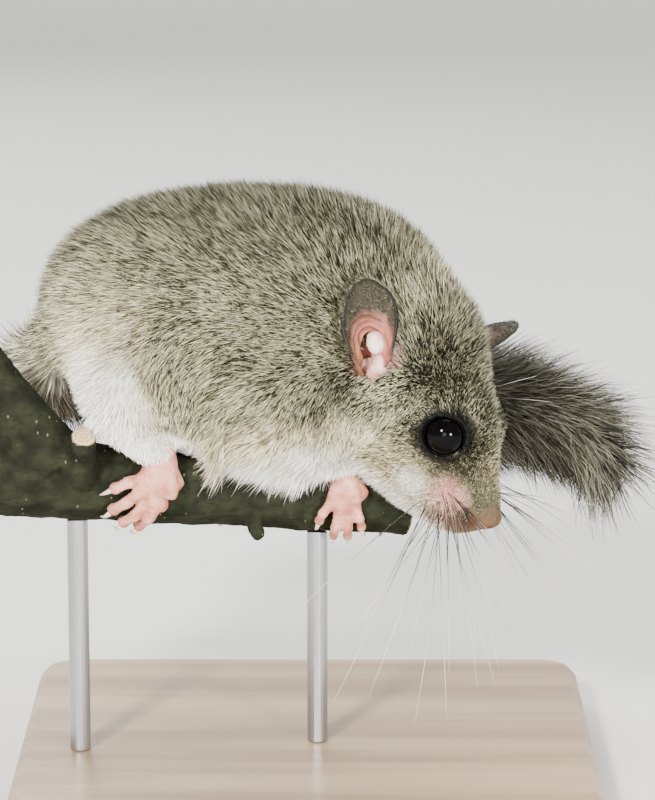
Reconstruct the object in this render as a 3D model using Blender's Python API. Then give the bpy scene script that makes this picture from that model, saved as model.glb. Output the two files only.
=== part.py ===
"""Edible dormouse (Glis glis) at life size, crouched on a cut length of branch that a plain stand holds up.

Sizes are in millimetres, and each mesh is scaled to metres when it is made. X runs along the branch
towards the animal's head, Y runs to its far side and Z is up. The origin is the middle of the stand's
underside.
"""

import math
import random

import bmesh
import bpy
import numpy as np
from mathutils import Matrix, Vector
from mathutils.bvhtree import BVHTree

MM = 0.001
GAP = 0.3

# The middle of the body. Points of the animal and of the branch are measured from here.
BODY = np.array([4.0, -8.0, 76.0])

# Head: its middle lies between the eyes, and it points down, forwards and towards the near side.
HEAD_AT = (24.5, -12.0, -3.1)
HEAD_YAW = -27.5
HEAD_PITCH = 59.5
HEAD_ROLL = 2.0
HEAD_TAPER = 0.24
EYE_RADIUS = 4.1
EYE_SIDE = 7.9
EYE_UP = 1.9
LID_THICKNESS = 0.75
LID_RADIUS = 3.75
LID_RISE = 1.9
MOUTH_TURN = 75
LIP_RADIUS = 0.6
EAR_LENGTH = 19.8
EAR_WIDTH = 10.4
EAR_THICKNESS = 0.8
EAR_SINK = 5.0

# Branch: a straight line between its two cut ends, and its radius at each.
BRANCH_START = np.array([-70.0, -9.0, -12.0])
BRANCH_END = np.array([16.0, 1.2, -20.6])
BRANCH_START_RADIUS = 8.2
BRANCH_END_RADIUS = 6.4
BARK_SWELL = 0.25

# Tail: the flattened brush of hair is wider than it is thick.
TAIL_PATH = [
    (-45.0, 3.0, 9.0),
    (-54.5, 10.5, 5.0),
    (-53.0, 26.0, 0.5),
    (-35.0, 37.0, -3.0),
    (-10.0, 40.0, -5.5),
    (15.0, 38.5, -7.5),
    (37.0, 33.5, -8.5),
    (52.5, 27.5, -13.5),
    (60.5, 22.5, -22.5),
]
TAIL_CUTS = (0.17, 0.42, 0.68)
TAIL_LENGTH = 162.0
BRUSH_HEIGHTS = [4.5, 6.0, 9.0, 11.0, 12.0, 11.0, 8.0, 6.0]
BRUSH_FLATNESS = 0.52
CORE_SHARE = 0.46
LOCK_LENGTH = 19.0
LOCK_WIDTH = 7.6
LOCK_THICKNESS = 1.7
LOCK_BEND = 0.25
LOCK_FORM = ((0.0, 0.8, 1.0), (0.42, 1.0, 0.85), (0.76, 0.66, 0.55), (1.0, 0.0, 0.3))
ROOT_SHARE = 0.45
LOCK_ROWS = 12
LOCKS_ROUND = 5
LOCK_SEED = 11

# Stand
BASE_LENGTH = 112.0
BASE_DEPTH = 100.0
BASE_THICKNESS = 8.0
BASE_EDGE = 1.6
BASE_CORNER = 8.0
ROD_RADIUS = 2.0
ROD_PLACES = (-48.0, -2.0)

# Triangles that each kind of node keeps
BODY_TRIANGLES = 1500
HEAD_TRIANGLES = 2900
FOOT_TRIANGLES = 330


def colour(name, rgb, roughness=0.8, metallic=0.0):
    """A Principled material of one colour."""
    made = bpy.data.materials.new(name)
    made.use_nodes = True
    shader = made.node_tree.nodes["Principled BSDF"]
    shader.inputs["Base Color"].default_value = (*rgb, 1.0)
    shader.inputs["Roughness"].default_value = roughness
    shader.inputs["Metallic"].default_value = metallic
    made.diffuse_color = (*rgb, 1.0)
    return made


# Objects


def place(point):
    """A point measured from the middle of the body, in the part's frame."""
    return np.asarray(point, float) + BODY


def object_of(name, points, faces, material=None):
    """An object from points in millimetres and faces as lists of indices."""
    mesh = bpy.data.meshes.new(name)
    mesh.from_pydata([tuple(float(c) * MM for c in p) for p in points], [], faces)
    mesh.validate()
    made = bpy.data.objects.new(name, mesh)
    bpy.context.scene.collection.objects.link(made)
    if material:
        mesh.materials.append(material)
    return made


def remove(*objects):
    for each in objects:
        bpy.data.objects.remove(each, do_unlink=True)


def copied(source, name):
    made = bpy.data.objects.new(name, source.data.copy())
    bpy.context.scene.collection.objects.link(made)
    return made


def apply_modifiers(each):
    """Replaces the object's mesh with what its modifiers make of it."""
    bpy.context.view_layer.update()
    graph = bpy.context.evaluated_depsgraph_get()
    mesh = bpy.data.meshes.new_from_object(each.evaluated_get(graph))
    each.modifiers.clear()
    each.data = mesh
    return each


def largest_surface(each):
    """Keeps only the object's largest closed surface."""
    work = bmesh.new()
    work.from_mesh(each.data)
    seen = set()
    shells = []
    for start in work.faces:
        if start in seen:
            continue
        shell = []
        waiting = [start]
        seen.add(start)
        while waiting:
            face = waiting.pop()
            shell.append(face)
            for edge in face.edges:
                for other in edge.link_faces:
                    if other not in seen:
                        seen.add(other)
                        waiting.append(other)
        shells.append(shell)
    shells.sort(key=lambda shell: sum(face.calc_area() for face in shell))
    spare = [face for shell in shells[:-1] for face in shell]
    bmesh.ops.delete(work, geom=spare, context="FACES")
    work.to_mesh(each.data)
    work.free()
    return each


def boolean(each, others, operation, solver="MANIFOLD"):
    """One Boolean with several objects, which are removed afterwards."""
    group = bpy.data.collections.new("pieces")
    bpy.context.scene.collection.children.link(group)
    for other in others:
        group.objects.link(other)
    modifier = each.modifiers.new("boolean", "BOOLEAN")
    modifier.operation = operation
    modifier.solver = solver
    modifier.operand_type = "COLLECTION"
    modifier.collection = group
    apply_modifiers(each)
    remove(*others)
    bpy.data.collections.remove(group)
    return each


def union(each, others):
    return largest_surface(boolean(each, others, "UNION"))


def cut(each, others):
    return largest_surface(boolean(each, others, "DIFFERENCE"))


def shared(each, other):
    """What the object shares with one other, which is then removed."""
    return largest_surface(boolean(each, [other], "INTERSECT"))


def plane_cut(each, point, normal, shift=0.0):
    """Cuts away what lies ahead of a plane, in the direction of its normal, and closes the cut."""
    direction = Vector(normal).normalized()
    origin = Vector(tuple(place(point))) * MM + direction * shift * MM
    work = bmesh.new()
    work.from_mesh(each.data)
    everything = work.verts[:] + work.edges[:] + work.faces[:]
    found = bmesh.ops.bisect_plane(
        work, geom=everything, plane_co=origin, plane_no=direction, clear_outer=True
    )
    rim = [e for e in found["geom_cut"] if isinstance(e, bmesh.types.BMEdge)]
    filled = bmesh.ops.edgeloop_fill(work, edges=rim)
    bmesh.ops.triangulate(work, faces=filled["faces"])
    bmesh.ops.recalc_face_normals(work, faces=work.faces[:])
    work.to_mesh(each.data)
    work.free()
    return largest_surface(each)


def fused(name, pieces, voxel, smoothing):
    """One smooth skin over several closed pieces, which are removed."""
    work = bmesh.new()
    for piece in pieces:
        work.from_mesh(piece.data)
    mesh = bpy.data.meshes.new(name)
    work.to_mesh(mesh)
    work.free()
    remove(*pieces)
    made = bpy.data.objects.new(name, mesh)
    bpy.context.scene.collection.objects.link(made)
    remesh = made.modifiers.new("remesh", "REMESH")
    remesh.mode = "VOXEL"
    remesh.voxel_size = voxel * MM
    smooth = made.modifiers.new("smooth", "SMOOTH")
    smooth.factor = 0.5
    smooth.iterations = smoothing
    return largest_surface(apply_modifiers(made))


def thinned(each, triangles):
    """The same shape with about this many triangles."""
    work = bmesh.new()
    work.from_mesh(each.data)
    bmesh.ops.triangulate(work, faces=work.faces[:])
    count = len(work.faces)
    work.to_mesh(each.data)
    work.free()
    if count > triangles:
        modifier = each.modifiers.new("thin", "DECIMATE")
        modifier.ratio = triangles / count
        apply_modifiers(each)
    return each


def dressed(each, name, material, smooth_angle=35.0):
    """Names a finished node and gives it its material and shading."""
    each.name = name
    each.data.materials.clear()
    each.data.materials.append(material)
    each.data.shade_smooth()
    each.data.set_sharp_from_angle(angle=math.radians(smooth_angle))
    return each


def outward(each):
    """Turns every face of a closed mesh to the outside."""
    work = bmesh.new()
    work.from_mesh(each.data)
    bmesh.ops.recalc_face_normals(work, faces=work.faces[:])
    work.to_mesh(each.data)
    work.free()
    return each


# Shapes


def curve_through(points, count):
    """Evenly spaced rows on a smooth curve through the given ones, of any number of values each."""
    known = np.asarray(points, float)
    ends = np.vstack([2 * known[0] - known[1], known, 2 * known[-1] - known[-2]])
    fine = []
    for i in range(1, len(ends) - 2):
        a, b, c, d = ends[i - 1 : i + 3]
        for t in np.linspace(0, 1, 24, endpoint=False):
            square = 2 * a - 5 * b + 4 * c - d
            cube = 3 * b - a - 3 * c + d
            fine.append(0.5 * (2 * b + (c - a) * t + square * t**2 + cube * t**3))
    fine.append(known[-1])
    fine = np.array(fine)
    run = np.concatenate([[0], np.cumsum(np.linalg.norm(np.diff(fine[:, :3], axis=0), axis=1))])
    wanted = np.linspace(0, run[-1], count)
    return np.array([np.interp(wanted, run, fine[:, k]) for k in range(fine.shape[1])]).T


def frames_along(points, up=(0, 0, 1)):
    """The direction, side and height axes at each point of a path, with the height kept near up."""
    forward = np.gradient(points, axis=0)
    forward /= np.linalg.norm(forward, axis=1)[:, None]
    side = np.cross(forward, np.asarray(up, float))
    side /= np.linalg.norm(side, axis=1)[:, None]
    height = np.cross(side, forward)
    return forward, side, height


def skin_rings(name, rings):
    """A closed mesh through rings of points, with a flat fan at each end."""
    sides = len(rings[0])
    points = [p for ring in rings for p in ring]
    points.append(np.mean(rings[0], axis=0))
    points.append(np.mean(rings[-1], axis=0))
    first, last = len(points) - 2, len(points) - 1
    faces = []
    for i in range(len(rings) - 1):
        for j in range(sides):
            k = (j + 1) % sides
            faces.append([i * sides + j, i * sides + k, (i + 1) * sides + k, (i + 1) * sides + j])
    end = (len(rings) - 1) * sides
    for j in range(sides):
        k = (j + 1) % sides
        faces.append([first, k, j])
        faces.append([last, end + j, end + k])
    return outward(object_of(name, points, faces))


def tube(name, stations, count=16, sides=14, up=(0, 0, 1)):
    """A round-ended tube through stations of x, y, z, half width and half height."""
    rows = curve_through(stations, count)
    path = rows[:, :3]
    forward, side, height = frames_along(path, up)
    turns = [2 * math.pi * j / sides for j in range(sides)]
    rings = []
    for i in range(count):
        wide, high = rows[i, 3], rows[i, 4]
        ring = [side[i] * wide * math.cos(t) + height[i] * high * math.sin(t) for t in turns]
        rings.append([path[i] + point for point in ring])
    for i, outwards in ((0, -1), (count - 1, 1)):
        wide, high = rows[i, 3], rows[i, 4]
        reach = min(wide, high)
        caps = []
        for angle in (35, 65, 84):
            lean = math.radians(angle)
            centre = path[i] + forward[i] * outwards * reach * math.sin(lean)
            shrink = math.cos(lean)
            ring = [side[i] * wide * math.cos(t) + height[i] * high * math.sin(t) for t in turns]
            caps.append([centre + point * shrink for point in ring])
        rings = caps[::-1] + rings if i == 0 else rings + caps
    return skin_rings(name, rings)


def ball(name, centre, radii, axes=None, rings=12, sides=20):
    """An ellipsoid whose radii run along three axes, given as rows."""
    axes = np.eye(3) if axes is None else np.asarray(axes, float)
    rows = []
    for i in range(1, rings):
        lean = math.pi * i / rings
        rows.append(
            [
                centre
                + axes[0] * radii[0] * math.sin(lean) * math.cos(t)
                + axes[1] * radii[1] * math.sin(lean) * math.sin(t)
                + axes[2] * radii[2] * math.cos(lean)
                for t in (2 * math.pi * j / sides for j in range(sides))
            ]
        )
    return skin_rings(name, rows)


def grown(each, name, distance):
    """A copy of the object, pushed out by a distance all round."""
    made = copied(each, name)
    swell = made.modifiers.new("swell", "DISPLACE")
    swell.strength = distance * MM
    swell.mid_level = 0.0
    return apply_modifiers(made)


def across(direction, near):
    """Three square axes as rows: one across, one nearest to the given vector, and the direction."""
    last = np.asarray(direction, float) / np.linalg.norm(direction)
    first = np.cross(np.asarray(near, float), last)
    first /= np.linalg.norm(first)
    return np.array([first, np.cross(last, first), last])


def ring_solid(name, centre, direction, major, minor, sides=22, section=6):
    """A torus whose axis runs along the direction."""
    one, two, axis = across(direction, (0.1, 0.2, 1.0))
    points = []
    for i in range(sides):
        turn = 2 * math.pi * i / sides
        out = one * math.cos(turn) + two * math.sin(turn)
        for j in range(section):
            lean = 2 * math.pi * j / section
            points.append(centre + out * (major + minor * math.cos(lean)) + axis * minor * math.sin(lean))
    faces = []
    for i in range(sides):
        for j in range(section):
            k, m = (i + 1) % sides, (j + 1) % section
            faces.append([i * section + j, k * section + j, k * section + m, i * section + m])
    return outward(object_of(name, points, faces))


# Head frame


def head_axes():
    """Rows: forwards to the nose, the animal's right side, and up."""
    yaw, pitch, roll = (math.radians(a) for a in (HEAD_YAW, HEAD_PITCH, HEAD_ROLL))
    turn = Matrix.Rotation(yaw, 3, "Z") @ Matrix.Rotation(pitch, 3, "Y") @ Matrix.Rotation(roll, 3, "X")
    return np.array([turn @ Vector((1, 0, 0)), turn @ Vector((0, -1, 0)), turn @ Vector((0, 0, 1))])


HEAD_AXES = head_axes()


def on_head(forward, right, up):
    """A point of the head, measured from between the eyes, in the part's frame."""
    return place(HEAD_AT) + np.array([forward, right, up]) @ HEAD_AXES


# Forward place, half width, top and bottom of the head's cross-sections, fur included.
HEAD_SECTIONS = [
    (17.6, 2.4, -0.6, -6.0),
    (16.9, 3.9, 0.3, -9.0),
    (15.3, 5.2, 1.4, -12.0),
    (10.5, 8.2, 3.7, -16.0),
    (5.9, 10.2, 6.2, -18.8),
    (0.6, 11.8, 8.5, -21.2),
    (-5.3, 13.0, 10.3, -22.0),
    (-12.0, 14.0, 11.6, -20.5),
    (-18.0, 15.0, 12.0, -18.0),
    (-23.0, 14.5, 10.5, -15.0),
]


def head_shell():
    rows = curve_through([(s[0], 0, 0, *s[1:]) for s in HEAD_SECTIONS], 22)
    sides = 28
    rings = []
    for forward, _, _, wide, top, bottom in rows:
        middle, half = (top + bottom) / 2, (top - bottom) / 2
        narrow = float(np.interp(forward, [-12.0, 0.0, 10.0], [0.04, 0.12, HEAD_TAPER]))
        ring = []
        for j in range(sides):
            turn = 2 * math.pi * j / sides
            right = wide * math.cos(turn) * (1 - narrow * math.sin(turn))
            ring.append(on_head(forward, right, middle + half * math.sin(turn)))
        rings.append(ring)
    return skin_rings("head_shell", rings)


# Branch


def branch_at(along):
    """The branch's axis point and radius, at a share of its length."""
    point = BRANCH_START + (BRANCH_END - BRANCH_START) * along
    radius = BRANCH_START_RADIUS + (BRANCH_END_RADIUS - BRANCH_START_RADIUS) * along
    return point, radius


def on_branch(x, angle, height):
    """A point at a height over the bark. The angle is 0 on top and 90 on the near side."""
    along = (x - BRANCH_START[0]) / (BRANCH_END[0] - BRANCH_START[0])
    point, radius = branch_at(along)
    lean = math.radians(angle)
    away = np.array([0.0, -math.sin(lean), math.cos(lean)])
    centre = np.array([x, point[1], point[2]])
    return centre + away * (radius + height)


def branch_solid(name, extra=0.0, beyond=0.0):
    """The branch alone, made wider by extra all round and longer by beyond at each end."""
    draw = random.Random(5)
    direction = (BRANCH_END - BRANCH_START) / np.linalg.norm(BRANCH_END - BRANCH_START)
    count, sides = 20, 12
    side = np.cross(direction, (0, 0, 1))
    side /= np.linalg.norm(side)
    height = np.cross(side, direction)
    swell = [draw.uniform(-BARK_SWELL, BARK_SWELL) for _ in range(count)]
    rings = []
    for i in range(count):
        share = i / (count - 1)
        point, radius = branch_at(share)
        point = point + direction * (beyond * (2 * share - 1))
        ring = []
        for j in range(sides):
            turn = 2 * math.pi * j / sides
            ripple = BARK_SWELL * math.sin(3 * turn + 5 * share) * math.sin(2 * turn + i)
            wide = radius + extra + swell[i] + ripple
            ring.append(place(point) + (side * math.cos(turn) + height * math.sin(turn)) * wide)
        rings.append(ring)
    return skin_rings(name, rings)


def shoot(name, start, end, start_radius, end_radius, sides=10):
    """A cut side shoot: a straight tapered stub with a flared root."""
    start, end = place(start), place(end)
    direction = (end - start) / np.linalg.norm(end - start)
    side = np.cross(direction, (0, 1, 0))
    side /= np.linalg.norm(side)
    other = np.cross(side, direction)
    rings = []
    for share in (0.0, 0.2, 0.4, 0.7, 1.0):
        radius = end_radius + (start_radius - end_radius) * (1 - share) ** 2
        centre = start + (end - start) * share
        turns = (2 * math.pi * j / sides for j in range(sides))
        rings.append([centre + (side * math.cos(t) + other * math.sin(t)) * radius for t in turns])
    return skin_rings(name, rings)


def shoots(extra=0.0):
    """The stubs of a side branch and a twig, and a small knot."""
    return [
        shoot("side_branch", (-52, -9, -11), (-66.5, -8.5, 10.0), 7.6 + extra, 5.0 + extra, 12),
        shoot("twig", (-47.0, -12, -12), (-45.8, -17.6, -3.2), 4.4 + extra, 2.6 + extra, 10),
        shoot("knot", (-16, -4, -18), (-13, -11.0, -24.5), 2.6 + extra, 1.6 + extra, 8),
    ]


def make_perch(material):
    """The branch, cut at both ends."""
    perch = union(branch_solid("perch_branch"), shoots())
    return dressed(perch, "perch_branch", material)


def clear_of_perch(each):
    """Cuts the object back to a thin gap from the branch."""
    return cut(each, [branch_solid("clear", GAP, 3.0), *shoots(GAP)])


# Body


def leg_shapes():
    """Haunches, shoulders, shanks and forearms, from inside the body to the wrists and ankles."""
    near_ankle = on_branch(-31.3, 52, 4.2)
    far_ankle = on_branch(-27.0, -48, 4.2)
    near_wrist = on_branch(3.6, 52, 3.2)
    far_wrist = on_branch(9.0, -45, 3.2)
    haunch_near = [(-28, -6, 11, 12.5, 13), (-36.5, -10, 8.5, 11.5, 11.5), (-39.0, -13.0, 1.5, 7.2, 7.2)]
    haunch_far = [(-24, 12, 11, 12.5, 13), (-32.5, 14.5, 7.5, 10.5, 11), (-33.5, 13.5, 0, 6.6, 6.6)]
    arm_near = [(-6, -8, 2, 10, 10), (-3, -11, -7, 6.6, 6.6)]
    arm_far = [(2, 6, 2, 9, 9), (5, 7, -7, 6.2, 6.2)]
    made = []
    for name, rows, end, wide, up in (
        ("haunch_near", haunch_near, near_ankle, 3.4, (0, 1, 0.2)),
        ("haunch_far", haunch_far, far_ankle, 3.2, (0, 1, 0.2)),
        ("arm_near", arm_near, near_wrist, 2.5, (0, 1, 0.2)),
        ("arm_far", arm_far, far_wrist, 2.5, (0, 1, 0.2)),
    ):
        stations = [(*place(r[:3]), r[3], r[4]) for r in rows]
        stations.append((*place(end), wide, wide))
        made.append(tube(name, stations, 14, 16, up))
    return made


# Place, half width and half height of the trunk's cross-sections, fur included.
TRUNK_SECTIONS = [
    (-51.5, 4.0, 11.0, 6.0, 7.0),
    (-46.5, 3.0, 13.5, 14.5, 15.0),
    (-38.5, 2.2, 15.8, 20.0, 21.0),
    (-28.0, 2.0, 15.4, 23.5, 25.0),
    (-14.0, 2.0, 13.2, 25.0, 28.0),
    (0.0, 0.6, 10.6, 24.0, 28.4),
    (9.0, -3.0, 8.6, 21.5, 26.0),
    (14.0, -6.0, 7.5, 17.0, 21.5),
]


def whole_body():
    """Trunk, head and legs as one smooth body, without feet, ears, eyes or tail."""
    trunk = tube("trunk", [(*place(s[:3]), s[3], s[4]) for s in TRUNK_SECTIONS], 22, 28)
    pieces = [trunk, head_shell(), *leg_shapes()]
    for side in (1, -1):
        pieces.append(ball("whisker_pad", on_head(12.4, 4.2 * side, -6.2), (4.6, 3.9, 4.8), HEAD_AXES))
        pieces.append(ball("brow", on_head(0.0, 6.0 * side, 2.2), (6.4, 4.6, 5.4), HEAD_AXES))
    pieces.append(ball("chin", on_head(11.5, 0, -12.0), (3.6, 3.6, 3.0), HEAD_AXES))
    return fused("body", pieces, 0.95, 9)


# Planes that part the head, the neck and the trunk, each a point and a normal towards the head.
NECK_BACK = ((9.0, -9.0, -17.0), (0.758, -0.622, 0.197))
NECK_FRONT = ((11.5, -10.0, -17.0), (0.83, -0.55, 0.05))
# Ellipsoids that part each leg from the trunk: middle and radii.
LEG_ZONES = {
    "hind_leg_right": ((-37.0, -17.5, 0.5), (14.5, 12.0, 17.0)),
    "hind_leg_left": ((-31.0, 20.0, 0.5), (14.0, 12.0, 17.0)),
    "fore_leg_right": ((0.5, -13.0, -11.5), (7.5, 7.5, 7.5)),
    "fore_leg_left": ((6.0, 9.5, -11.5), (7.5, 7.5, 7.5)),
}


def opposite(normal):
    return tuple(-c for c in normal)


def foot_planes():
    """For each leg, the point and the direction at which its foot begins."""
    return {
        "hind_leg_right": ((-31.6, -14.2, -8.9), (0.45, 0.1, -0.88)),
        "hind_leg_left": (tuple(on_branch(-27.2, -48, 5.2)), (0.3, -0.1, -0.9)),
        "fore_leg_right": (tuple(on_branch(3.3, 50, 4.2)), (0.1, 0.1, -1.0)),
        "fore_leg_left": (tuple(on_branch(8.8, -43, 4.2)), (0.1, -0.1, -1.0)),
    }


def part_body(body, fur, belly):
    """Parts the whole body into trunk, neck, head and legs, with a thin gap between them."""
    nodes = {}
    head = thinned(copied(body, "head"), HEAD_TRIANGLES)
    body = thinned(body, BODY_TRIANGLES)
    trunk = copied(body, "torso")
    for name, (middle, radii) in LEG_ZONES.items():
        leg = copied(body, name)
        shared(leg, ball("zone", place(middle), radii, rings=12, sides=18))
        cut(trunk, [ball("zone", place(middle), [r + GAP for r in radii], rings=12, sides=18)])
        point, normal = foot_planes()[name]
        plane_cut(leg, point, normal, -GAP / 2)
        clear_of_perch(leg)
        nodes[name] = leg
    neck = copied(body, "neck")
    plane_cut(trunk, *NECK_BACK, -GAP / 2)
    plane_cut(neck, NECK_BACK[0], opposite(NECK_BACK[1]), -GAP / 2)
    plane_cut(neck, *NECK_FRONT, -GAP / 2)
    plane_cut(head, NECK_FRONT[0], opposite(NECK_FRONT[1]), -GAP / 2)
    for each in (trunk, neck, head):
        clear_of_perch(each)
    for name in ("fore_leg_right", "fore_leg_left"):
        middle, radii = LEG_ZONES[name]
        cut(neck, [ball("zone", place(middle), [r + GAP for r in radii], rings=12, sides=18)])
    nodes["torso"] = trunk
    nodes["neck"] = neck
    nodes["head"] = head
    for name, node in nodes.items():
        dressed(node, name, belly if "leg" in name else fur)
    return nodes, body


# Face


def eye_axes(side):
    """The eye's outward direction."""
    return np.array([0.24, 0.93 * side, 0.26]) @ HEAD_AXES


def eye_centre(side):
    return on_head(0.0, EYE_SIDE * side, EYE_UP)


def on_face(tree, start, turn, drop):
    """Where a level line from inside the muzzle, at an angle from straight ahead, leaves the head."""
    lean = math.radians(turn)
    direction = np.array([math.cos(lean), math.sin(lean), -drop]) @ HEAD_AXES
    hit = tree.ray_cast(Vector(tuple(on_head(*start) * MM)), Vector(tuple(direction)))[0]
    return np.array(hit) / MM


def finish_head(head, material):
    """Adds lids, the nose pad with its nostrils, and the mouth between its lips."""
    graph = bpy.context.evaluated_depsgraph_get()
    tree = BVHTree.FromObject(head, graph)
    turns = range(-MOUTH_TURN, MOUTH_TURN + 1, 15)
    mouth = [on_face(tree, (7.0, 0.0, -9.2), turn, 0.05 + 0.12 * (turn / MOUTH_TURN) ** 2) for turn in turns]
    up = HEAD_AXES[2]
    lids = [
        ring_solid("lid", eye_centre(s) + eye_axes(s) * LID_RISE, eye_axes(s), LID_RADIUS, LID_THICKNESS)
        for s in (1, -1)
    ]
    nose = ball("nose", on_head(16.8, 0.0, -2.4), (1.7, 2.9, 2.5), HEAD_AXES, 9, 14)
    lips = [0.2, *[LIP_RADIUS] * (len(mouth) - 2), 0.2]
    upper, lower = (
        tube("lip", [(*(p + up * side * (r + 0.12)), r, r) for p, r in zip(mouth, lips)], 16, 7, up)
        for side in (1, -1)
    )
    union(head, [*lids, nose, upper, lower])
    cutters = [ball("socket", eye_centre(s), [EYE_RADIUS + GAP] * 3, None, 12, 18) for s in (1, -1)]
    for side in (1, -1):
        start, end = on_head(19.2, 0.9 * side, -3.0), on_head(16.6, 2.0 * side, -2.2)
        cutters.append(tube("nostril", [(*start, 0.5, 0.7), (*end, 0.4, 0.5)], 3, 8, up))
    cutters.append(tube("mouth", [(*p, 0.9, 0.22) for p in mouth], 16, 6, up))
    philtrum = [(*on_head(18.3, 0, -4.2), 0.18, 0.7), (*on_head(17.4, 0, -8.4), 0.18, 0.7)]
    cutters.append(tube("philtrum", philtrum, 4, 6, HEAD_AXES[1]))
    cut(head, cutters)
    return dressed(head, "head", material)


def make_eyes(material):
    made = []
    for name, side in (("eye_right", 1), ("eye_left", -1)):
        eyeball = ball(name, eye_centre(side), [EYE_RADIUS] * 3, None, 10, 14)
        made.append(dressed(eyeball, name, material, 60))
    return made


# Ears: share of the length, half width as a share of the whole, how far the sides come forward, in degrees.
EAR_OUTLINE = [
    (-0.02, 0.38, 140),
    (0.07, 0.44, 122),
    (0.17, 0.57, 98),
    (0.28, 0.74, 76),
    (0.42, 0.91, 62),
    (0.58, 1.00, 52),
    (0.72, 0.94, 45),
    (0.84, 0.78, 38),
    (0.92, 0.56, 32),
    (0.975, 0.32, 28),
    (1.0, 0.12, 26),
]
# Where each ear stands on the head, the direction of its tip and of its opening, in the head's axes.
EAR_PLACES = {
    "ear_right": ((-14.9, 15.6, -2.2), (-0.84, 0.19, 0.46), (0.43, 0.73, 0.50)),
    "ear_left": ((-15.6, -13.4, -1.2), (0.16, -0.93, 0.22), (0.85, 0.20, -0.30)),
}


def ear_shell(name, base, tip, opening):
    """A thin cupped shell with a rounded end, open towards one side, and its inner flap."""
    axes = across(np.array(tip) @ HEAD_AXES, np.array(opening) @ HEAD_AXES)
    wide, front, along = axes
    start = on_head(*base)
    columns = 9
    rows = curve_through([(u * EAR_LENGTH, w, a) for u, w, a in EAR_OUTLINE], 12)
    sheets = []
    for thickness in (0.0, EAR_THICKNESS):
        sheet = []
        for reach, share, angle in rows:
            half = share * EAR_WIDTH / 2
            limit = math.radians(angle)
            radius = half / math.sin(min(limit, math.pi / 2)) + thickness
            sink = EAR_SINK * max(0.0, 0.24 - reach / EAR_LENGTH) / 0.24
            axis = start + along * reach - front * sink
            line = []
            for j in range(columns):
                turn = limit * (2 * j / (columns - 1) - 1)
                arc = wide * math.sin(turn) * radius - front * math.cos(turn) * radius
                line.append(axis + arc + front * half * 0.9)
            sheet.append(line)
        sheets.append(sheet)
    count = len(rows)
    points = [p for sheet in sheets for line in sheet for p in line]

    def at(sheet, i, j):
        return (sheet * count + i) * columns + j

    faces = []
    for i in range(count - 1):
        for j in range(columns - 1):
            faces.append([at(0, i, j), at(0, i, j + 1), at(0, i + 1, j + 1), at(0, i + 1, j)])
            faces.append([at(1, i, j), at(1, i + 1, j), at(1, i + 1, j + 1), at(1, i, j + 1)])
        for j in (0, columns - 1):
            faces.append([at(0, i, j), at(0, i + 1, j), at(1, i + 1, j), at(1, i, j)])
    for j in range(columns - 1):
        for i in (0, count - 1):
            faces.append([at(0, i, j), at(0, i, j + 1), at(1, i, j + 1), at(1, i, j)])
    shell = outward(object_of(name, points, faces))
    flap = ball("flap", start + along * 3.4 + front * 0.3 + wide * 0.6, (1.5, 1.1, 2.9), axes, 8, 12)
    return union(shell, [flap])


def make_ears(body, material):
    """Both ears, cut back to a thin gap from the head."""
    made = []
    for name, (base, tip, opening) in EAR_PLACES.items():
        ear = ear_shell(name, base, tip, opening)
        cut(ear, [grown(body, "clear", GAP)])
        made.append(dressed(ear, name, material))
    return made


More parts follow.
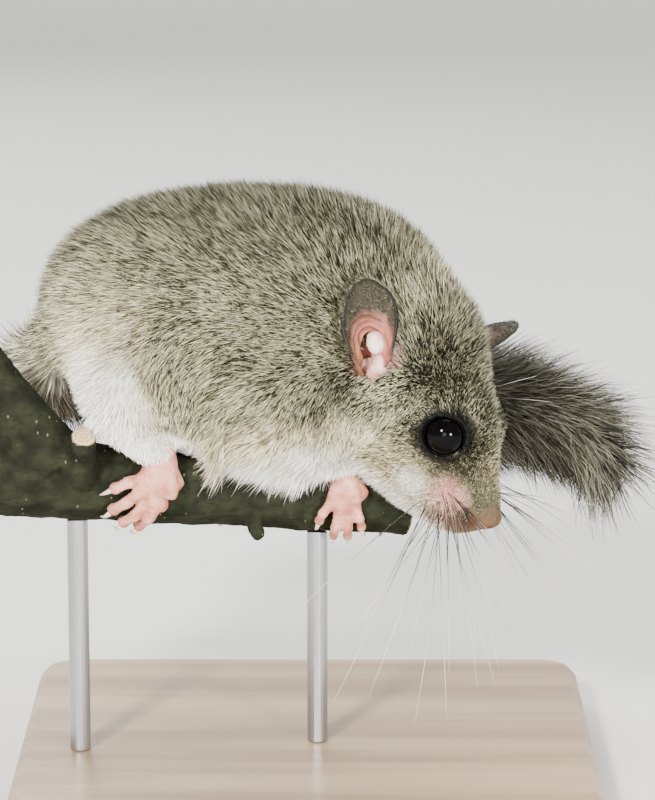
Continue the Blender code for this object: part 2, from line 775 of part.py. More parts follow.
# Feet. Each digit's root, knuckle and tip: place along the branch, angle round it and height over the bark.
FEET = {
    "hind_foot_right": {
        "ankle": (-31.3, 52, 4.2),
        "sole": [(-31.6, 60, 3.4, 3.3, 2.6), (-32.2, 74, 2.7, 4.4, 2.0), (-33.0, 86, 2.0, 4.6, 1.6)],
        "heel": (-28.6, 82, 1.9),
        "digits": [
            [(-34.4, 70, 2.0), (-37.6, 76, 2.7), (-40.2, 84, 1.6)],
            [(-35.0, 84, 1.8), (-38.0, 98, 2.6), (-40.6, 112, 1.5)],
            [(-34.2, 96, 1.7), (-36.6, 115, 2.3), (-38.8, 133, 1.4)],
            [(-31.8, 94, 1.7), (-33.8, 116, 2.3), (-36.0, 140, 1.4)],
        ],
        "size": 1.0,
    },
    "hind_foot_left": {
        "ankle": (-27.2, -48, 4.2),
        "sole": [(-27.0, -58, 3.4, 3.2, 2.6), (-26.4, -72, 2.7, 4.3, 2.0), (-25.6, -84, 2.0, 4.5, 1.6)],
        "heel": (-30.2, -80, 1.9),
        "digits": [
            [(-23.6, -72, 2.0), (-20.4, -78, 2.7), (-17.8, -86, 1.6)],
            [(-23.2, -84, 1.8), (-20.2, -98, 2.6), (-17.6, -112, 1.5)],
            [(-24.2, -96, 1.7), (-21.8, -114, 2.3), (-19.6, -131, 1.4)],
            [(-26.4, -96, 1.7), (-24.4, -116, 2.3), (-22.2, -138, 1.4)],
        ],
        "size": 1.0,
    },
    "fore_foot_right": {
        "ankle": (3.6, 50, 3.4),
        "sole": [(3.5, 58, 3.0, 2.6, 2.1), (3.3, 72, 2.4, 3.3, 1.7), (3.2, 84, 1.8, 3.6, 1.4)],
        "heel": (7.0, 76, 1.6),
        "digits": [
            [(0.8, 84, 1.6), (-0.9, 98, 2.1), (-1.6, 113, 1.2)],
            [(2.3, 92, 1.6), (1.5, 118, 2.1), (1.1, 146, 1.2)],
            [(3.9, 92, 1.6), (3.9, 118, 2.1), (3.9, 144, 1.2)],
            [(5.3, 86, 1.6), (6.1, 102, 2.1), (6.5, 120, 1.2)],
        ],
        "size": 0.82,
    },
    "fore_foot_left": {
        "ankle": (9.0, -45, 3.4),
        "sole": [(9.0, -54, 3.0, 2.6, 2.1), (9.0, -70, 2.4, 3.3, 1.7), (9.0, -82, 1.8, 3.6, 1.4)],
        "heel": (5.4, -76, 1.6),
        "digits": [
            [(6.6, -84, 1.6), (5.1, -98, 2.1), (4.4, -113, 1.2)],
            [(8.1, -92, 1.6), (7.6, -118, 2.1), (7.3, -144, 1.2)],
            [(9.8, -92, 1.6), (10.1, -118, 2.1), (10.3, -144, 1.2)],
            [(11.4, -84, 1.6), (12.4, -100, 2.1), (13.0, -116, 1.2)],
        ],
        "size": 0.82,
    },
}


def on_bark(row):
    return place(on_branch(*row))


def foot_shapes(form):
    """The sole, heel pad, digits, toe pads and claws of one foot."""
    size = form["size"]
    sign = 1 if form["ankle"][1] > 0 else -1
    rows = [(*on_bark(r[:3]), r[3], r[4]) for r in form["sole"]]
    rows = [(*on_bark(form["ankle"]), 3.0 * size, 3.0 * size)] + rows
    away = (0, -sign, 0.5)
    made = [
        tube("sole", rows, 9, 14, away),
        ball("heel", on_bark(form["heel"]), [2.3 * size] * 3, None, 8, 12),
    ]
    for digit in form["digits"]:
        root, knuckle, tip = digit
        stations = [
            (*on_bark(root), 1.5 * size, 1.5 * size),
            (*on_bark(knuckle), 1.25 * size, 1.25 * size),
            (*on_bark(tip), 1.45 * size, 1.45 * size),
        ]
        made.append(tube("digit", stations, 7, 10, away))
        step = on_bark(tip) - on_bark(knuckle)
        step /= np.linalg.norm(step)
        out = on_bark((tip[0], tip[1], 2.0)) - on_bark((tip[0], tip[1], 1.0))
        claw_root = on_bark(tip) + step * 0.7 * size + out * 0.5 * size
        claw_mid = claw_root + step * 1.5 * size - out * 0.1
        claw_tip = claw_root + step * 2.3 * size - out * 0.9
        claw = [(*claw_root, 0.75 * size, 0.75 * size), (*claw_mid, 0.5, 0.5), (*claw_tip, 0.28, 0.28)]
        made.append(tube("claw", claw, 5, 8, away))
    return made


def make_feet(trunk, material):
    """The four feet with their digits round the branch, cut back from what they meet."""
    made = []
    planes = foot_planes()
    for name, form in FEET.items():
        foot = fused(name, foot_shapes(form), 0.3, 3)
        leg = name.replace("foot", "leg")
        point, normal = planes[leg]
        plane_cut(foot, point, opposite(normal), -GAP / 2)
        thinned(foot, FOOT_TRIANGLES)
        cut(foot, [grown(trunk, "clear", GAP)])
        clear_of_perch(foot)
        made.append(dressed(foot, name, material))
    return made


# Tail


def tail_rows(shares):
    """The tail's points, sides and heights at shares of its length."""
    path = curve_through(TAIL_PATH, 200)
    _, side, height = frames_along(path)
    index = np.asarray(shares) * (len(path) - 1)
    places = range(len(path))
    return [
        np.array([[np.interp(i, places, values[:, k]) for k in range(3)] for i in index])
        for values in (path, side, height)
    ]


def brush_size(share):
    """Half height and half thickness of the brush at a share of the tail's length."""
    high = np.interp(share, [0, 0.06, 0.16, 0.3, 0.6, 0.85, 0.96, 1.0], BRUSH_HEIGHTS)
    return high, high * BRUSH_FLATNESS


def core_size(share):
    """Half height and half thickness of the solid middle that the locks grow from."""
    high, deep = brush_size(share)
    return high * CORE_SHARE, deep * CORE_SHARE


def ring_round(share, high, deep, turns):
    """Points round the tail at a share of its length."""
    point, side, height = (row[0] for row in tail_rows([share]))
    return [place(point) + height * high * math.cos(t) + side * deep * math.sin(t) for t in turns]


def tail_forward(share):
    """The direction in which the tail runs at a share of its length."""
    before, after = tail_rows([share - 0.01, share])[0]
    return (after - before) / np.linalg.norm(after - before)


def lock(share, turn, reach, draw):
    """A flat tapered lock of hair, rooted in the core, that leaves the tail slowly and ends in a point."""
    bend = draw.uniform(-LOCK_BEND, LOCK_BEND)
    span = LOCK_LENGTH * reach / TAIL_LENGTH
    points = []
    for way, wide, thick in LOCK_FORM:
        here = min(share + span * way, 1.0)
        past = max(share + span * way - 1.0, 0.0) * TAIL_LENGTH
        point, side, height = (row[0] for row in tail_rows([here]))
        forward = tail_forward(here)
        inner, outer = core_size(here), brush_size(here)
        high, deep = (ROOT_SHARE * a + (b - ROOT_SHARE * a) * way**0.85 for a, b in zip(inner, outer))
        around = turn + bend * way * way
        out = height * high * math.cos(around) + side * deep * math.sin(around)
        centre = place(point) + out * (0.85 + 0.15 * reach) + forward * past
        normal = height * deep * math.cos(around) + side * high * math.sin(around)
        normal -= forward * (normal @ forward)
        normal *= LOCK_THICKNESS / 2 * thick / np.linalg.norm(normal)
        tangent = np.cross(forward, normal)
        tangent *= LOCK_WIDTH / 2 * wide / max(np.linalg.norm(tangent), 1e-6)
        ring = [centre + tangent, centre + normal, centre - tangent, centre - normal]
        points += ring if wide else [centre]
    faces = [[0, 1, 2, 3]]
    last = len(points) - 5
    for i in range(0, last, 4):
        faces += [[i + j, i + (j + 1) % 4, i + 4 + (j + 1) % 4, i + 4 + j] for j in range(4)]
    faces += [[last + j, last + (j + 1) % 4, last + 4] for j in range(4)]
    return outward(object_of("lock", points, faces))


def beyond(share, extra):
    """All of the tail that grows past a share of its length: a funnel that opens with the hair."""
    sides = 12
    turns = [2 * math.pi * j / sides for j in range(sides)]
    span = LOCK_LENGTH / TAIL_LENGTH
    rings = []
    for way in np.linspace(0, 1, 7):
        here = share + span * way
        inner, outer = core_size(min(here, 1.0)), brush_size(min(here, 1.0))
        high, deep = (
            ROOT_SHARE * a + (1.12 * b - ROOT_SHARE * a) * way + extra for a, b in zip(inner, outer)
        )
        if way == 0.0:
            rings.append(ring_round(here - extra / TAIL_LENGTH, high * 0.5, deep * 0.5, turns))
        rings.append(ring_round(here - extra / TAIL_LENGTH, high, deep, turns))
    for here in np.linspace(share + span * 1.2, 1.0, 8):
        high, deep = (1.3 * b + 3.0 for b in brush_size(max(here, 0.5)))
        rings.append(ring_round(here, max(high, 16.0), max(deep, 9.0), turns))
    rings.append([p + tail_forward(1.0) * 2 * LOCK_LENGTH for p in rings[-1]])
    return skin_rings("beyond", rings)


def make_tail(body, material):
    """The tail as a core covered in locks, parted into lengths whose hair lies over the next one's root."""
    draw = random.Random(LOCK_SEED)
    turns = [2 * math.pi * j / 8 for j in range(8)]
    rings = [ring_round(share, *core_size(share), turns) for share in np.linspace(0.0, 1.0, 20)]
    core = skin_rings("core", rings)
    locks = []
    for row in range(LOCK_ROWS):
        share = 0.035 + 0.945 * row / (LOCK_ROWS - 1)
        for k in range(LOCKS_ROUND):
            turn = 2 * math.pi * (k + 0.5 * (row % 2) + draw.uniform(-0.12, 0.12)) / LOCKS_ROUND
            locks.append(lock(share + draw.uniform(-0.008, 0.008), turn, draw.uniform(0.85, 1.1), draw))
    whole = union(core, locks)
    made = []
    for k, name in enumerate(("tail_root", "tail_bend", "tail_middle", "tail_end")):
        length = copied(whole, name)
        if k:
            shared(length, beyond(TAIL_CUTS[k - 1], -GAP / 2))
        if k < len(TAIL_CUTS):
            cut(length, [beyond(TAIL_CUTS[k], GAP / 2)])
        made.append(length)
    remove(whole)
    cut(made[0], [grown(body, "clear", GAP)])
    return [dressed(each, each.name, material) for each in made]


# Stand


def make_stand(wood, metal):
    """A flat base with bevelled edges, and two rods that end just under the branch."""
    half = np.array([BASE_LENGTH, BASE_DEPTH]) / 2
    rings = []
    for inset, height in (
        (BASE_EDGE, 0.0),
        (0.0, BASE_EDGE),
        (0.0, BASE_THICKNESS - BASE_EDGE),
        (BASE_EDGE, BASE_THICKNESS),
    ):
        ring = []
        for sx, sy in ((1, 1), (-1, 1), (-1, -1), (1, -1)):
            corner = np.array([sx, sy]) * (half - BASE_CORNER)
            for step in range(7):
                turn = math.radians(15 * step) + math.atan2(sy, sx) - math.pi / 4
                reach = BASE_CORNER - inset
                spin = reach * np.array([math.cos(turn), math.sin(turn)])
                ring.append(np.array([*(corner + spin), height]))
        rings.append(ring)
    made = [dressed(skin_rings("stand_base", rings), "stand_base", wood)]
    for name, x in (("stand_rod_back", ROD_PLACES[0]), ("stand_rod_front", ROD_PLACES[1])):
        along = (x - BRANCH_START[0]) / (BRANCH_END[0] - BRANCH_START[0])
        centre, radius = branch_at(along)
        top = place(centre)
        rings = []
        for height in (BASE_THICKNESS + GAP, top[2]):
            ring = []
            for j in range(20):
                turn = 2 * math.pi * j / 20
                spin = ROD_RADIUS * np.array([math.cos(turn), math.sin(turn)])
                ring.append(np.array([*(np.array(top[:2]) + spin), height]))
            rings.append(ring)
        rod = clear_of_perch(skin_rings(name, rings))
        made.append(dressed(rod, name, metal))
    return made


# Scene


def clear_scene():
    for each in list(bpy.data.objects):
        bpy.data.objects.remove(each, do_unlink=True)


def main():
    clear_scene()
    fur = colour("grey_brown_fur", (0.34, 0.31, 0.24))
    pale = colour("pale_fur", (0.80, 0.74, 0.62))
    bark = colour("bark", (0.16, 0.15, 0.11), 0.9)
    skin = colour("pink_skin", (0.80, 0.50, 0.42), 0.6)
    ear_skin = colour("ear_skin", (0.52, 0.38, 0.33), 0.7)
    black = colour("black_eye", (0.01, 0.01, 0.015), 0.08)
    tail_fur = colour("tail_fur", (0.24, 0.21, 0.16))
    wood = colour("stand_wood", (0.42, 0.30, 0.19), 0.5)
    metal = colour("stand_metal", (0.35, 0.35, 0.36), 0.35, 1.0)
    make_perch(bark)
    make_stand(wood, metal)
    nodes, body = part_body(whole_body(), fur, pale)
    finish_head(nodes["head"], fur)
    make_eyes(black)
    make_ears(body, ear_skin)
    make_feet(nodes["torso"], skin)
    make_tail(body, tail_fur)
    remove(body)


main()
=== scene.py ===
"""An edible dormouse at life size on its display stand: skin, coat, face, feet, bark and stand.

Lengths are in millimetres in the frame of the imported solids, and each mesh is scaled to metres when it is
made. X runs towards the animal's head, Y to its far side and Z is up. Places on the animal are measured from
the middle of its body, and places on the head from between the eyes.
"""

import math

import bmesh
import bpy
import numpy as np
from mathutils import Matrix, Vector
from mathutils.bvhtree import BVHTree


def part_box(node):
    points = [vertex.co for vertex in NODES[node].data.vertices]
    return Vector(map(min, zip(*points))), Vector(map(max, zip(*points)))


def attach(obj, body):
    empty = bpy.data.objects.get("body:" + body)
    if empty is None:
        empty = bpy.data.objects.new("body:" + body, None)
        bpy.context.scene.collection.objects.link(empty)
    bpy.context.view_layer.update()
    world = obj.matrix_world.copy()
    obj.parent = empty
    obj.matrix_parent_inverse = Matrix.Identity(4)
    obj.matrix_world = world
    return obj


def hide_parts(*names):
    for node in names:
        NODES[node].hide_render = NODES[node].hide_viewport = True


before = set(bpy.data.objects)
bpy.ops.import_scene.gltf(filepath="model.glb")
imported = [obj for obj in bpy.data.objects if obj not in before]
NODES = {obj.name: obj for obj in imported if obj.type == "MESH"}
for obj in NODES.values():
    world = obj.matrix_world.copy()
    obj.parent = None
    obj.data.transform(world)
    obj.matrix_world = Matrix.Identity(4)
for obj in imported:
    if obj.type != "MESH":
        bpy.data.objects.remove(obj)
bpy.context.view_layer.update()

MM = 0.001
ROOT = "root"
WAVE_COUNT = 14
BODY = np.array([4.0, -8.0, 76.0])

# Head: its middle and its turns in degrees.
HEAD_AT = np.array([24.5, -12.0, -3.1])
HEAD_YAW = -27.5
HEAD_PITCH = 59.5
HEAD_ROLL = 2.0
EYE_RADIUS = 4.1
EYE_OPENING = 3.75
LID_RADIUS = 0.24
MOUTH_TURN = 78
NOSE_REACH = 1.6

# Skin
SKIN_VOXEL = 0.58
SKIN_SWELL = 0.2
FLESH = ["torso", "neck", "head", "hind_leg_right", "hind_leg_left", "fore_leg_right", "fore_leg_left"]
FEET = ["hind_foot_right", "hind_foot_left", "fore_foot_right", "fore_foot_left"]
TAIL_NODES = ["tail_root", "tail_bend", "tail_middle", "tail_end"]
EARS = ["ear_right", "ear_left"]
# What each point of the skin belongs to. On the pink inside of an ear the value lies between ear and foot.
BODY_ZONE, EAR_ZONE, FOOT_ZONE, LID_ZONE = 0.0, 1.0, 2.0, 3.0

# Branch: a straight line between its two cut ends, and its radius at each.
BRANCH_START = np.array([-70.0, -9.0, -12.0])
BRANCH_END = np.array([16.0, 1.2, -20.6])
BRANCH_RADII = (8.2, 6.4)

BARK_VOXEL = 0.5

# Feet: size, ankle, sole and heel, and each digit's root, knuckle and tip, all as place along the branch,
# angle round it and height over the bark. A sole's rows add its half width and half height.
FOOT_VOXEL = 0.27
FOOT_FORMS = {
    "hind_foot_right": {
        "size": 1.0,
        "ankle": (-31.3, 52, 4.2),
        "sole": [(-31.6, 60, 3.4, 3.3, 2.6), (-32.2, 74, 2.7, 4.4, 2.0), (-33.0, 86, 2.0, 4.6, 1.6)],
        "heel": (-28.6, 82, 1.9),
        "digits": [
            [(-34.4, 70, 2.0), (-37.6, 76, 2.7), (-40.2, 84, 1.6)],
            [(-35.0, 84, 1.8), (-38.0, 98, 2.6), (-40.6, 112, 1.5)],
            [(-34.2, 96, 1.7), (-36.6, 115, 2.3), (-38.8, 133, 1.4)],
            [(-31.8, 94, 1.7), (-33.8, 116, 2.3), (-36.0, 140, 1.4)],
        ],
    },
    "hind_foot_left": {
        "size": 1.0,
        "ankle": (-27.2, -48, 4.2),
        "sole": [(-27.0, -58, 3.4, 3.2, 2.6), (-26.4, -72, 2.7, 4.3, 2.0), (-25.6, -84, 2.0, 4.5, 1.6)],
        "heel": (-30.2, -80, 1.9),
        "digits": [
            [(-23.6, -72, 2.0), (-20.4, -78, 2.7), (-17.8, -86, 1.6)],
            [(-23.2, -84, 1.8), (-20.2, -98, 2.6), (-17.6, -112, 1.5)],
            [(-24.2, -96, 1.7), (-21.8, -114, 2.3), (-19.6, -131, 1.4)],
            [(-26.4, -96, 1.7), (-24.4, -116, 2.3), (-22.2, -138, 1.4)],
        ],
    },
    "fore_foot_right": {
        "size": 0.82,
        "ankle": (3.6, 50, 3.4),
        "sole": [(3.5, 58, 3.0, 2.6, 2.1), (3.3, 72, 2.4, 3.3, 1.7), (3.2, 84, 1.8, 3.6, 1.4)],
        "heel": (7.0, 76, 1.6),
        "digits": [
            [(0.8, 84, 1.6), (-0.9, 98, 2.1), (-1.6, 113, 1.2)],
            [(2.3, 92, 1.6), (1.5, 118, 2.1), (1.1, 146, 1.2)],
            [(3.9, 92, 1.6), (3.9, 118, 2.1), (3.9, 144, 1.2)],
            [(5.3, 86, 1.6), (6.1, 102, 2.1), (6.5, 120, 1.2)],
        ],
    },
    "fore_foot_left": {
        "size": 0.82,
        "ankle": (9.0, -45, 3.4),
        "sole": [(9.0, -54, 3.0, 2.6, 2.1), (9.0, -70, 2.4, 3.3, 1.7), (9.0, -82, 1.8, 3.6, 1.4)],
        "heel": (5.4, -76, 1.6),
        "digits": [
            [(6.6, -84, 1.6), (5.1, -98, 2.1), (4.4, -113, 1.2)],
            [(8.1, -92, 1.6), (7.6, -118, 2.1), (7.3, -144, 1.2)],
            [(9.8, -92, 1.6), (10.1, -118, 2.1), (10.3, -144, 1.2)],
            [(11.4, -84, 1.6), (12.4, -100, 2.1), (13.0, -116, 1.2)],
        ],
    },
}

# Ears: share of the length, half width as a share of the whole, how far the sides come forward, in degrees.
EAR_LENGTH = 19.2
EAR_WIDTH = 10.4
EAR_THICKNESS = 0.5
EAR_SINK = 5.0
EAR_GRID = (96, 73)
FLAP_VOXEL = 0.18
EAR_LEANS = {"ear_right": 1.1, "ear_left": 0.2}
EAR_OUTLINE = [
    (-0.02, 0.38, 140),
    (0.07, 0.40, 128),
    (0.17, 0.48, 108),
    (0.28, 0.62, 86),
    (0.42, 0.84, 66),
    (0.58, 1.00, 52),
    (0.70, 0.96, 46),
    (0.78, 0.88, 42),
    (0.84, 0.77, 38),
    (0.89, 0.64, 34),
    (0.94, 0.47, 30),
    (0.975, 0.29, 27),
    (1.0, 0.08, 26),
]
# How far the middle of an ear lies behind its foot, at shares of its length.
EAR_BACK = [
    (-0.02, 0.2),
    (0.17, 0.25),
    (0.28, 0.32),
    (0.42, 0.85),
    (0.58, 1.8),
    (0.72, 2.2),
    (0.86, 2.2),
    (1.0, 1.9),
]
# Where each ear stands on the head, the direction of its tip and of its opening, in the head's axes.
EAR_PLACES = {
    "ear_right": ((-14.9, 15.6, -2.2), (-0.84, 0.19, 0.46), (0.43, 0.73, 0.50)),
    "ear_left": ((-15.6, -13.4, -1.2), (0.16, -0.93, 0.22), (0.85, 0.20, -0.30)),
}

# Coat: hair lengths, and how far under the solids' surface the skin lies, as a share of them. Those on the
# head are given for places from its back to the nose.
TRUNK_HAIR = 8.5
BELLY_HAIR = 9.0
SHANK_HAIR = 1.8
EAR_HAIR = 1.3
TAIL_HAIR = 17.0
DEPTH_SHARE = 0.36
HEAD_HAIR = [
    (-26, 7.0),
    (-16, 5.2),
    (-8, 4.0),
    (-2, 3.2),
    (3, 2.6),
    (8, 2.2),
    (12, 1.6),
    (15, 1.0),
    (17.5, 0.5),
]

# Tail: its middle line, and the half height and half thickness of its brush of hair.
TAIL_PATH = [
    (-45.0, 3.0, 9.0),
    (-54.5, 10.5, 5.0),
    (-53.0, 26.0, 0.5),
    (-35.0, 37.0, -3.0),
    (-10.0, 40.0, -5.5),
    (15.0, 38.5, -7.5),
    (37.0, 33.5, -8.5),
    (52.5, 27.5, -13.5),
    (60.5, 22.5, -22.5),
]
BRUSH_SHARES = [0, 0.06, 0.16, 0.3, 0.6, 0.85, 0.96, 1.0]
BRUSH_HEIGHTS = [4.5, 6.0, 9.0, 11.0, 12.0, 11.0, 8.0, 6.0]
TAIL_CORE = 0.3

# Camera: distance from the middle of the body, height over the level in degrees, and what the frame takes in.
CAMERA_DISTANCE = 700.0
CAMERA_ELEVATION = 12.0
PIXELS_PER_MM = 5.2
FRAME_HEIGHT = 800
SENSOR = 36.0


# Arrays


def unit(vectors):
    """The same vectors with length one, along the last axis."""
    vectors = np.asarray(vectors, float)
    return vectors / np.maximum(np.linalg.norm(vectors, axis=-1, keepdims=True), 1e-9)


def ramp(value, low, high):
    """0 up to low and 1 from high on, with soft ends."""
    share = np.clip((np.asarray(value, float) - low) / (high - low), 0, 1)
    return share * share * (3 - 2 * share)


def bell(gap, width, power=2):
    """1 at no gap, falling off over the width."""
    return np.exp(-((gap / width) ** power))


def full_turn(count):
    """Evenly spaced angles all the way round."""
    return np.linspace(0, 2 * math.pi, count, endpoint=False)


def near(points, centre, reach, axes=None):
    """1 at the centre, falling softly to 0 at the reach along each axis."""
    local = points - np.asarray(centre, float)
    if axes is not None:
        local = local @ np.transpose(axes)
    return 1 - ramp(np.linalg.norm(local / np.asarray(reach, float), axis=1), 0, 1)


def waves(size, seed):
    """Random directions and turns of the waves that make up a smooth random field."""
    draw = np.random.default_rng(seed)
    steps = draw.normal(size=(WAVE_COUNT, 3)) * (2 * math.pi / size / 1.7)
    return steps, draw.uniform(0, 2 * math.pi, WAVE_COUNT)


def ripple(points, size, seed):
    """A smooth random value, mostly between -1 and 1, that changes over the given distance."""
    steps, turns = waves(size, seed)
    return np.sin(points @ steps.T + turns).mean(1) * math.sqrt(len(turns)) / 1.2


def slope(points, size, seed):
    """The direction in which the same random field rises."""
    steps, turns = waves(size, seed)
    return np.cos(points @ steps.T + turns) @ steps * size / len(turns)


def curve_through(points, count):
    """Evenly spaced points on a smooth curve through the given ones."""
    rows = np.array(points, float)
    rows = np.vstack([2 * rows[0] - rows[1], rows, 2 * rows[-1] - rows[-2]])
    fine = []
    for a, b, c, d in zip(rows, rows[1:], rows[2:], rows[3:]):
        for t in np.linspace(0, 1, 24, endpoint=False):
            bend = (2 * a - 5 * b + 4 * c - d) * t**2 + (3 * b - a - 3 * c + d) * t**3
            fine.append(0.5 * (2 * b + (c - a) * t + bend))
    fine = np.array(fine + [rows[-2]])
    run = np.concatenate([[0], np.cumsum(np.linalg.norm(np.diff(fine[:, :3], axis=0), axis=1))])
    even = np.linspace(0, run[-1], count)
    return np.array([np.interp(even, run, fine[:, k]) for k in range(fine.shape[1])]).T


# Objects


def new_object(name, data, material=None):
    """A new object in the scene, from a mesh, a lamp or a camera."""
    made = bpy.data.objects.new(name, data)
    bpy.context.scene.collection.objects.link(made)
    if material:
        data.materials.append(material)
    return made


def aimed(made, place, way):
    """Puts a lamp or a camera in its place, in metres, and points it along a direction."""
    made.location = Vector(place)
    made.rotation_mode = "QUATERNION"
    made.rotation_quaternion = Vector(way).to_track_quat("-Z", "Y")


def mesh_from(work, name):
    """A new mesh from one under construction, which is freed."""
    mesh = bpy.data.meshes.new(name)
    work.to_mesh(mesh)
    work.free()
    return mesh


def smooth_shaded(mesh):
    mesh.polygons.foreach_set("use_smooth", np.ones(len(mesh.polygons), bool))


def read(rows, name, width, kind=np.float32):
    """An array with the named numbers of each point, edge, corner or triangle."""
    values = np.empty(len(rows) * width, kind)
    rows.foreach_get(name, values)
    return values.reshape(-1, width)


def array_mesh(name, points, corners, starts):
    """A mesh from points in millimetres, the corners of all faces in a row, and where each face starts."""
    mesh = bpy.data.meshes.new(name)
    mesh.vertices.add(len(points))
    mesh.vertices.foreach_set("co", (np.asarray(points, np.float32) * MM).ravel())
    mesh.loops.add(len(corners))
    mesh.loops.foreach_set("vertex_index", np.asarray(corners, np.int32))
    mesh.polygons.add(len(starts))
    mesh.polygons.foreach_set("loop_start", np.asarray(starts, np.int32))
    mesh.update(calc_edges=True)
    smooth_shaded(mesh)
    return mesh


def grid_mesh(name, sheet, caps=False):
    """A mesh of quads from rows of points, each closed into a ring. Caps close the first and last."""
    sheet = np.asarray(sheet, float)
    rows, columns = sheet.shape[:2]
    i, j = np.meshgrid(np.arange(rows - 1), np.arange(columns), indexing="ij")
    i, j = i.ravel(), j.ravel()
    k = (j + 1) % columns
    low, high = i * columns, (i + 1) * columns
    quads = np.stack([low + j, low + k, high + k, high + j], 1)
    corners = quads.ravel().tolist()
    starts = list(range(0, len(corners), 4))
    if caps:
        for ring in (reversed(range(columns)), range((rows - 1) * columns, rows * columns)):
            starts.append(len(corners))
            corners += ring
    return array_mesh(name, sheet.reshape(-1, 3), corners, starts)


def places_of(mesh):
    return read(mesh.vertices, "co", 3).astype(float) / MM


def set_places(mesh, places):
    mesh.vertices.foreach_set("co", (np.asarray(places, np.float32) * MM).ravel())
    mesh.update()


def normals_of(mesh):
    return read(mesh.vertex_normals, "vector", 3).astype(float)


def set_values(mesh, name, values):
    """A named value for each point of a mesh, which its material reads."""
    found = mesh.attributes.get(name) or mesh.attributes.new(name, "FLOAT", "POINT")
    found.data.foreach_set("value", np.asarray(values, np.float32))


def select(objects):
    """Selects just these objects and makes the first one active."""
    bpy.ops.object.select_all(action="DESELECT")
    for each in objects:
        each.select_set(True)
    bpy.context.view_layer.objects.active = objects[0]


def joined(name, objects):
    """Joins objects into the first one, under a new name."""
    select(objects)
    bpy.ops.object.join()
    objects[0].name = name
    objects[0].data.name = name
    return objects[0]


def fuse(each, voxel):
    """Makes one closed surface of an object's overlapping pieces."""
    remesh = each.modifiers.new("fuse", "REMESH")
    remesh.mode = "VOXEL"
    remesh.voxel_size = voxel * MM
    bpy.context.view_layer.update()
    graph = bpy.context.evaluated_depsgraph_get()
    mesh = bpy.data.meshes.new_from_object(each.evaluated_get(graph))
    each.modifiers.clear()
    each.data = mesh


def surface_of(mesh):
    work = bmesh.new()
    work.from_mesh(mesh)
    tree = BVHTree.FromBMesh(work)
    work.free()
    return tree


def tube_sheet(line, radii, sides, up=(0.0, 0.0, 1.0), heights=None):
    """Rings of points round a line, from a radius or a half width and half height at each of its points."""
    line = np.asarray(line, float)
    forward = unit(np.gradient(line, axis=0))
    side = unit(np.cross(forward, np.broadcast_to(up, forward.shape)))
    height = np.cross(side, forward)
    turns = full_turn(sides)
    radii = np.asarray(radii, float)[:, None, None]
    heights = radii if heights is None else np.asarray(heights, float)[:, None, None]
    across = side[:, None] * np.cos(turns)[None, :, None] * radii
    return line[:, None] + across + height[:, None] * np.sin(turns)[None, :, None] * heights


# Head frame


def head_axes():
    """Rows: forwards to the nose, the animal's right side, and up."""
    yaw, pitch, roll = (math.radians(a) for a in (HEAD_YAW, HEAD_PITCH, HEAD_ROLL))
    turn = Matrix.Rotation(yaw, 3, "Z") @ Matrix.Rotation(pitch, 3, "Y") @ Matrix.Rotation(roll, 3, "X")
    return np.array([turn @ Vector((1, 0, 0)), turn @ Vector((0, -1, 0)), turn @ Vector((0, 0, 1))])


HEAD_AXES = head_axes()


def on_head(forward, right, up):
    return BODY + HEAD_AT + np.array([forward, right, up]) @ HEAD_AXES


def head_places(points):
    """How far forward, right and up points lie on the head."""
    return ((points - BODY - HEAD_AT) @ HEAD_AXES.T).T


def node_middle(name):
    low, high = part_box(name)
    return np.array((low + high) / 2) / MM


EYES = {side: node_middle(f"eye_{side}") for side in ("right", "left")}


# Tail frame


TAIL_LINE = curve_through([BODY + p for p in np.array(TAIL_PATH)], 160)


def tail_places(points):
    """Each point's share of the tail's length, and its distance from the tail's middle line."""
    share = np.empty(len(points))
    away = np.empty(len(points))
    for start in range(0, len(points), 20000):
        some = slice(start, start + 20000)
        gaps = np.linalg.norm(points[some][:, None] - TAIL_LINE[None], axis=2)
        share[some] = gaps.argmin(1) / (len(TAIL_LINE) - 1)
        away[some] = gaps.min(1)
    return share, away


def tail_axes(share):
    """Directions along the tail, across its flat side and through it, for shares of its length."""
    forward = unit(np.gradient(TAIL_LINE, axis=0))
    side = unit(np.cross(forward, (0.0, 0.0, 1.0)))
    height = np.cross(side, forward)
    index = np.clip(np.asarray(share) * (len(TAIL_LINE) - 1), 0, len(TAIL_LINE) - 1).astype(int)
    return forward[index], height[index], side[index]


# Skin


def merged_solids(names, swell):
    """One mesh object of copies of the solids, each grown a little so that they overlap."""
    whole = bmesh.new()
    for name in names:
        part = bmesh.new()
        part.from_mesh(NODES[name].data)
        bmesh.ops.remove_doubles(part, verts=part.verts, dist=1e-6)
        part.normal_update()
        for vert in part.verts:
            vert.co += vert.normal * swell * MM
        mesh = mesh_from(part, name)
        whole.from_mesh(mesh)
        bpy.data.meshes.remove(mesh)
    return new_object("solids", mesh_from(whole, "solids"))


def tail_core():
    """The solid middle of the tail, under its hair."""
    shares = np.linspace(0, 1, len(TAIL_LINE))
    high = np.interp(shares, BRUSH_SHARES, BRUSH_HEIGHTS) * TAIL_CORE
    high *= 1 - 0.7 * ramp(shares, 0.75, 1.0)
    sheet = tube_sheet(TAIL_LINE, np.ones(len(TAIL_LINE)), 16)
    middle = TAIL_LINE[:, None]
    _, height, side = tail_axes(shares)
    out = sheet - middle
    tall = (out * height[:, None]).sum(2, keepdims=True) * height[:, None] * high[:, None, None]
    deep = (out * side[:, None]).sum(2, keepdims=True) * side[:, None] * (high * 0.75)[:, None, None]
    return new_object("tail_core", grid_mesh("tail_core", middle + tall + deep, caps=True))


